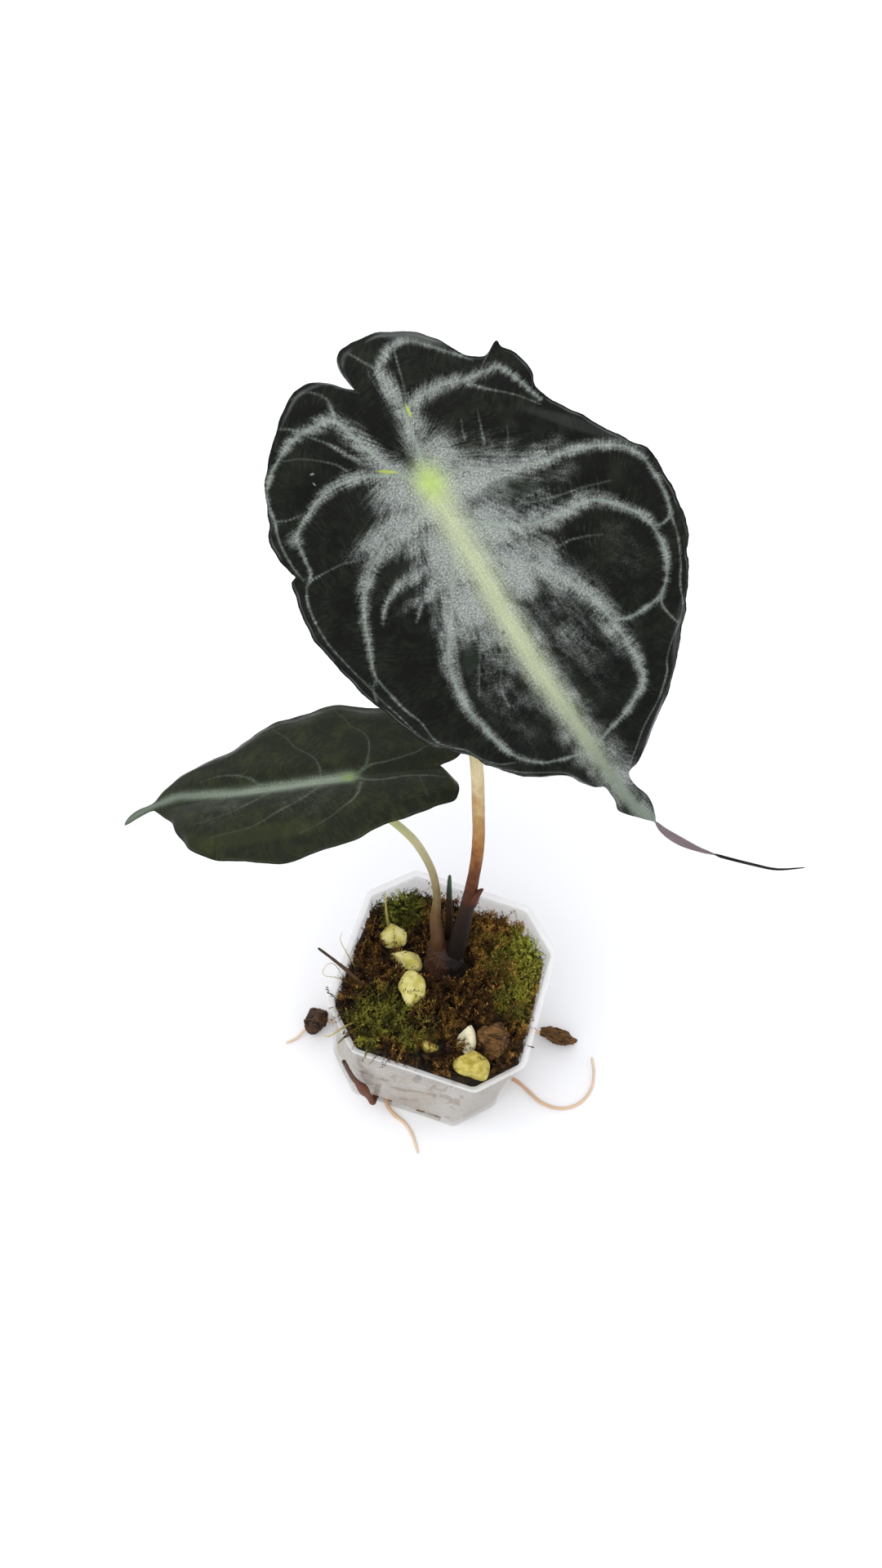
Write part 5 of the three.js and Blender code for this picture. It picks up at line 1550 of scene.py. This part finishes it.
def pot():
    profile = pot_profile()
    heights = [z for _, z in profile]
    points = creased(np.vstack([*(level_ring(*place) for place in profile), [[0.0, 0.0, 0.0]]]))
    faces = [face for face in ring_faces(len(profile), RING_POINTS) if not in_slot(face, heights)]
    centre = len(points) - 1
    faces += [(centre, (i + 1) % RING_POINTS, i) for i in range(RING_POINTS)]
    mesh = mesh_from("pot", points, faces)
    close_up(mesh)
    piece = new_piece("pot_walls", mesh)
    wall = piece.modifiers.new("wall", "SOLIDIFY")
    wall.thickness = POT_WALL * MM
    wall.offset = -1.0
    graph = bpy.context.evaluated_depsgraph_get()
    solid = bpy.data.meshes.new_from_object(piece.evaluated_get(graph), depsgraph=graph)
    piece.modifiers.clear()
    piece.data = solid
    solid.materials.clear()
    solid.materials.append(plastic_finish("milky plastic"))
    for polygon in solid.polygons:
        polygon.use_smooth = True
    solid.set_sharp_from_angle(angle=math.radians(40))
    keep(piece, "clear_plastic", "pot")


def moss_green(x, y):
    """Where the moss is alive: at the back left, at the right and in front on the left."""
    green = np.zeros_like(x)
    for at_x, at_y, size, strength in GREEN_SPOTS:
        green = np.maximum(green, strength * np.exp(-((x - at_x) ** 2 + (y - at_y) ** 2) / size**2))
    return green


def hold_inside(mesh):
    """Presses the strands that would pass through the pot's wall back inside it."""
    place = np.empty(len(mesh.vertices) * 3)
    mesh.vertices.foreach_get("co", place)
    place = place.reshape(-1, 3) / MM
    reach = wall_half(place[:, 2]) - POT_WALL - STRAND_GAP
    free = np.where(place[:, 2] > POT_HEIGHT + 0.6, 4.0, 0.0)
    flat = np.clip(place[:, :2], -(reach + free)[:, None], (reach + free)[:, None])
    over = np.abs(flat).sum(axis=1) - (2.0 - POT_CORNER_CUT) * (reach + free)
    flat -= np.sign(flat) * np.maximum(over, 0.0)[:, None] / 2.0
    place[:, :2] = flat
    mesh.vertices.foreach_set("co", (place * MM).ravel())
    mesh.update()


def sprig_mesh(name, length, leaflets, leaflet, curl, seed):
    """One strand of moss: a thin curved stem with small folded leaflets all round it."""
    rng = np.random.default_rng(seed)
    bend = rng.uniform(0.0, 2.0 * math.pi)
    share = np.linspace(0.0, 1.0, 6)
    lean = curl * length * share**2
    stem = np.column_stack([lean * math.cos(bend), lean * math.sin(bend), length * share])
    points, faces, tips = [], [], []
    for i, (place, t) in enumerate(zip(stem, share)):
        for k in range(3):
            angle = 2.0 * math.pi * k / 3
            radius = 0.13 * (1.1 - t)
            points.append(place + radius * np.array([math.cos(angle), math.sin(angle), 0.0]))
            tips.append(t)
        if i:
            a, b = 3 * (i - 1), 3 * i
            faces += [(a + k, a + (k + 1) % 3, b + (k + 1) % 3, b + k) for k in range(3)]
    for i in range(leaflets):
        t = 0.12 + 0.88 * (i + 0.5) / leaflets
        place = np.array([np.interp(t, share, stem[:, k]) for k in range(3)])
        angle = 2.4 * i + rng.uniform(-0.4, 0.4)
        rise = rng.uniform(0.25, 0.8) + 0.5 * t
        out = np.array([math.cos(angle), math.sin(angle), 0.0])
        way = out * math.cos(rise) + np.array([0.0, 0.0, math.sin(rise)])
        aside = np.array([-math.sin(angle), math.cos(angle), 0.0])
        size = leaflet * rng.uniform(0.7, 1.15) * (1.15 - 0.5 * t)
        start = len(points)
        points += [place, place + way * size * 0.45 + aside * size * 0.22,
                   place + way * size + np.array([0.0, 0.0, 0.1 * size]),
                   place + way * size * 0.45 - aside * size * 0.22]
        tips += [t * 0.7, t * 0.7 + 0.1, min(1.0, t * 0.7 + 0.3), t * 0.7 + 0.1]
        faces += [(start, start + 1, start + 2), (start, start + 2, start + 3)]
    mesh = mesh_from(name, points, faces)
    set_values(mesh, "tip", tips)
    return mesh


def sprig_kinds(name, kinds):
    """A set of sprigs kept out of the scene, for scattering."""
    group = bpy.data.collections.new(name)
    for seed, (length, leaflets, leaflet, curl) in enumerate(kinds):
        mesh = sprig_mesh(f"{name} {seed}", length, leaflets, leaflet, curl, SPRIG_SEED + seed)
        group.objects.link(bpy.data.objects.new(f"{name} {seed}", mesh))
    return group


def drop_kinds(group):
    for piece in list(group.objects):
        bpy.data.objects.remove(piece)
    bpy.data.collections.remove(group)


def moss_rings():
    """Rings of the moss, from the middle of its foot up along the wall and in over its top."""
    half_at = wall_half(MOSS_MIDDLE) - POT_WALL - 0.2
    rings = [level_ring(half, 1.4) for half in (2.0, 12.0, 22.0, 26.0)]
    rings += [level_ring(wall_half(z) - POT_WALL - 0.25, z) for z in np.linspace(2.2, 36.0, MOSS_SIDE_RINGS)]
    ring = pot_ring(half_at)
    z = moss_height(*ring.T) - 1.2
    fit = (wall_half(z) - POT_WALL - 0.2) / half_at
    rings.append(np.column_stack([ring * fit[:, None], z]))
    for share in np.linspace(0.97, 0.015, MOSS_TOP_RINGS):
        ring = pot_ring(half_at * share)
        rings.append(np.column_stack([ring, moss_height(*ring.T)]))
    return rings, half_at


def moss(skin, cover):
    ground = moss_finish(
        "moss bed", (16, 9, 3), (44, 28, 10), (96, 66, 30), (24, 24, 6), (84, 84, 26))
    strands = moss_finish(
        "moss strands", (24, 14, 5), (84, 54, 18), (176, 132, 60), (50, 48, 12), (152, 148, 54))
    rings, half_at = moss_rings()
    mesh = closed_stack("moss", rings)
    place = np.empty(len(mesh.vertices) * 3)
    mesh.vertices.foreach_get("co", place)
    x, y, z = place.reshape(-1, 3).T / MM
    top = (z > moss_height(x, y) - 0.9) & (np.maximum(np.abs(x), np.abs(y)) < half_at - 1.0)
    at_x, at_y, half_x, half_y = STEM_GAP
    hole = ((x - at_x) / half_x) ** 2 + ((y - at_y) / half_y) ** 2 < 1.0
    for centre, half, _, _ in [*GRAINS.values(), CHIPS["bark_chip_top"]]:
        hole |= ((x - centre[0]) / half[0]) ** 2 + ((y - centre[1]) / half[1]) ** 2 < 1.25
    set_values(mesh, "cover", np.where(top & ~hole, 1.0, 0.0))
    set_values(mesh, "green", moss_green(x, y))
    set_values(mesh, "tone", np.where(z < moss_height(x, y) - 1.5, 2.2, 0.4))
    set_values(mesh, "tip", np.full(len(x), 0.3))
    bed = grown("moss_bed", mesh, skin, Lump_size=3.5, Lump_depth=1.8, Grit_size=0.9, Grit_depth=1.0,
                Material=ground)
    keep(bed, "moss", "moss_plug")

    kinds = sprig_kinds("sprigs", SPRIGS)
    piece = grown("moss_strands", bed.data.copy(), cover, Sprigs=kinds, Spacing=0.85, Lean=1.25,
                  Smallest=0.5, Largest=1.15, Seed=MOSS_SEED, Material=strands)
    hold_inside(piece.data)
    keep(piece, "moss")
    drop_kinds(kinds)


def wisps(bar):
    """Thin strands that hang over the rim."""
    for number, (line, half) in enumerate(WISPS):
        bar_piece(
            bar, f"wisp_{number}", "straw", line,
            lambda t: half * (1.0 - 0.7 * t) * round_ends(t, 12.0, half), 0.25, "moss",
            gloss=0.6, fibre_depth=0.05, Sides=8, Lump_width=1.0, Lump_length=1.5, Lump_depth=0.12,
            Seed=number * 3.0)


def tufts(cover):
    lively = moss_finish(
        "green moss", (44, 50, 12), (96, 104, 28), (150, 158, 58), (50, 58, 10), (178, 186, 70))
    kinds = sprig_kinds("green sprigs", GREEN_SPRIGS)
    for name, facts in TUFTS.items():
        centre, half, turn, seed = facts
        small = (centre, tuple(0.62 * h for h in half), turn, seed)
        mesh = lump_mesh(name, small, 3, 0.12)
        place = np.array([v.co for v in mesh.vertices]) / MM
        set_values(mesh, "cover", smoothstep(-0.2, 0.3, (place[:, 2] - centre[2]) / half[2]))
        set_values(mesh, "green", np.ones(len(place)))
        piece = grown(name + "_fine", mesh, cover, Sprigs=kinds, Spacing=0.75, Lean=0.45, Smallest=0.4,
                      Largest=0.75, Seed=seed, Material=lively)
        hold_inside(piece.data)
        keep(piece, "green_moss", name)
    drop_kinds(kinds)


def stem(skin):
    """Short stem wrapped in the feet of old stalks."""
    levels, radii = np.array(STEM_PROFILE).T
    heights = np.linspace(levels[0], levels[-1], STEM_RINGS)
    angles = np.linspace(0.0, 2.0 * math.pi, STEM_POINTS, endpoint=False)
    rings = []
    for z, radius in zip(heights, np.interp(heights, levels, radii)):
        wraps = 0.35 * ((angles * 2.0 / (2.0 * math.pi) + z / 26.0) % 1.0)
        fibres = 0.08 * np.sin(angles * 23.0 + z * 0.2)
        around = radius + wraps - 0.2 + fibres
        x = around * np.cos(angles) * 1.25 - 0.9 - 0.1 * (z - 46.0)
        y = around * np.sin(angles) + 4.4 + 0.3 * (z - 46.0)
        rings.append(np.column_stack([x, y, np.full(STEM_POINTS, z)]))
    piece = grown("stem_foot", closed_stack("stem", rings), skin, Stretch=(1.0, 1.0, 0.2), Lump_size=1.6,
                  Lump_depth=0.7, Grit_size=0.6, Grit_depth=0.2, Material=stem_finish("old sheaths"))
    keep(piece, "stem", "stem_base")


camera()
studio()
leaves()
bar = bar_tree()
rough_skin = skin_tree()
moss_cover = cover_tree()
stalks(bar)
roots(bar)
grains(rough_skin)
chips(rough_skin)
pot()
moss(rough_skin, moss_cover)
tufts(moss_cover)
wisps(bar)
stem(rough_skin)
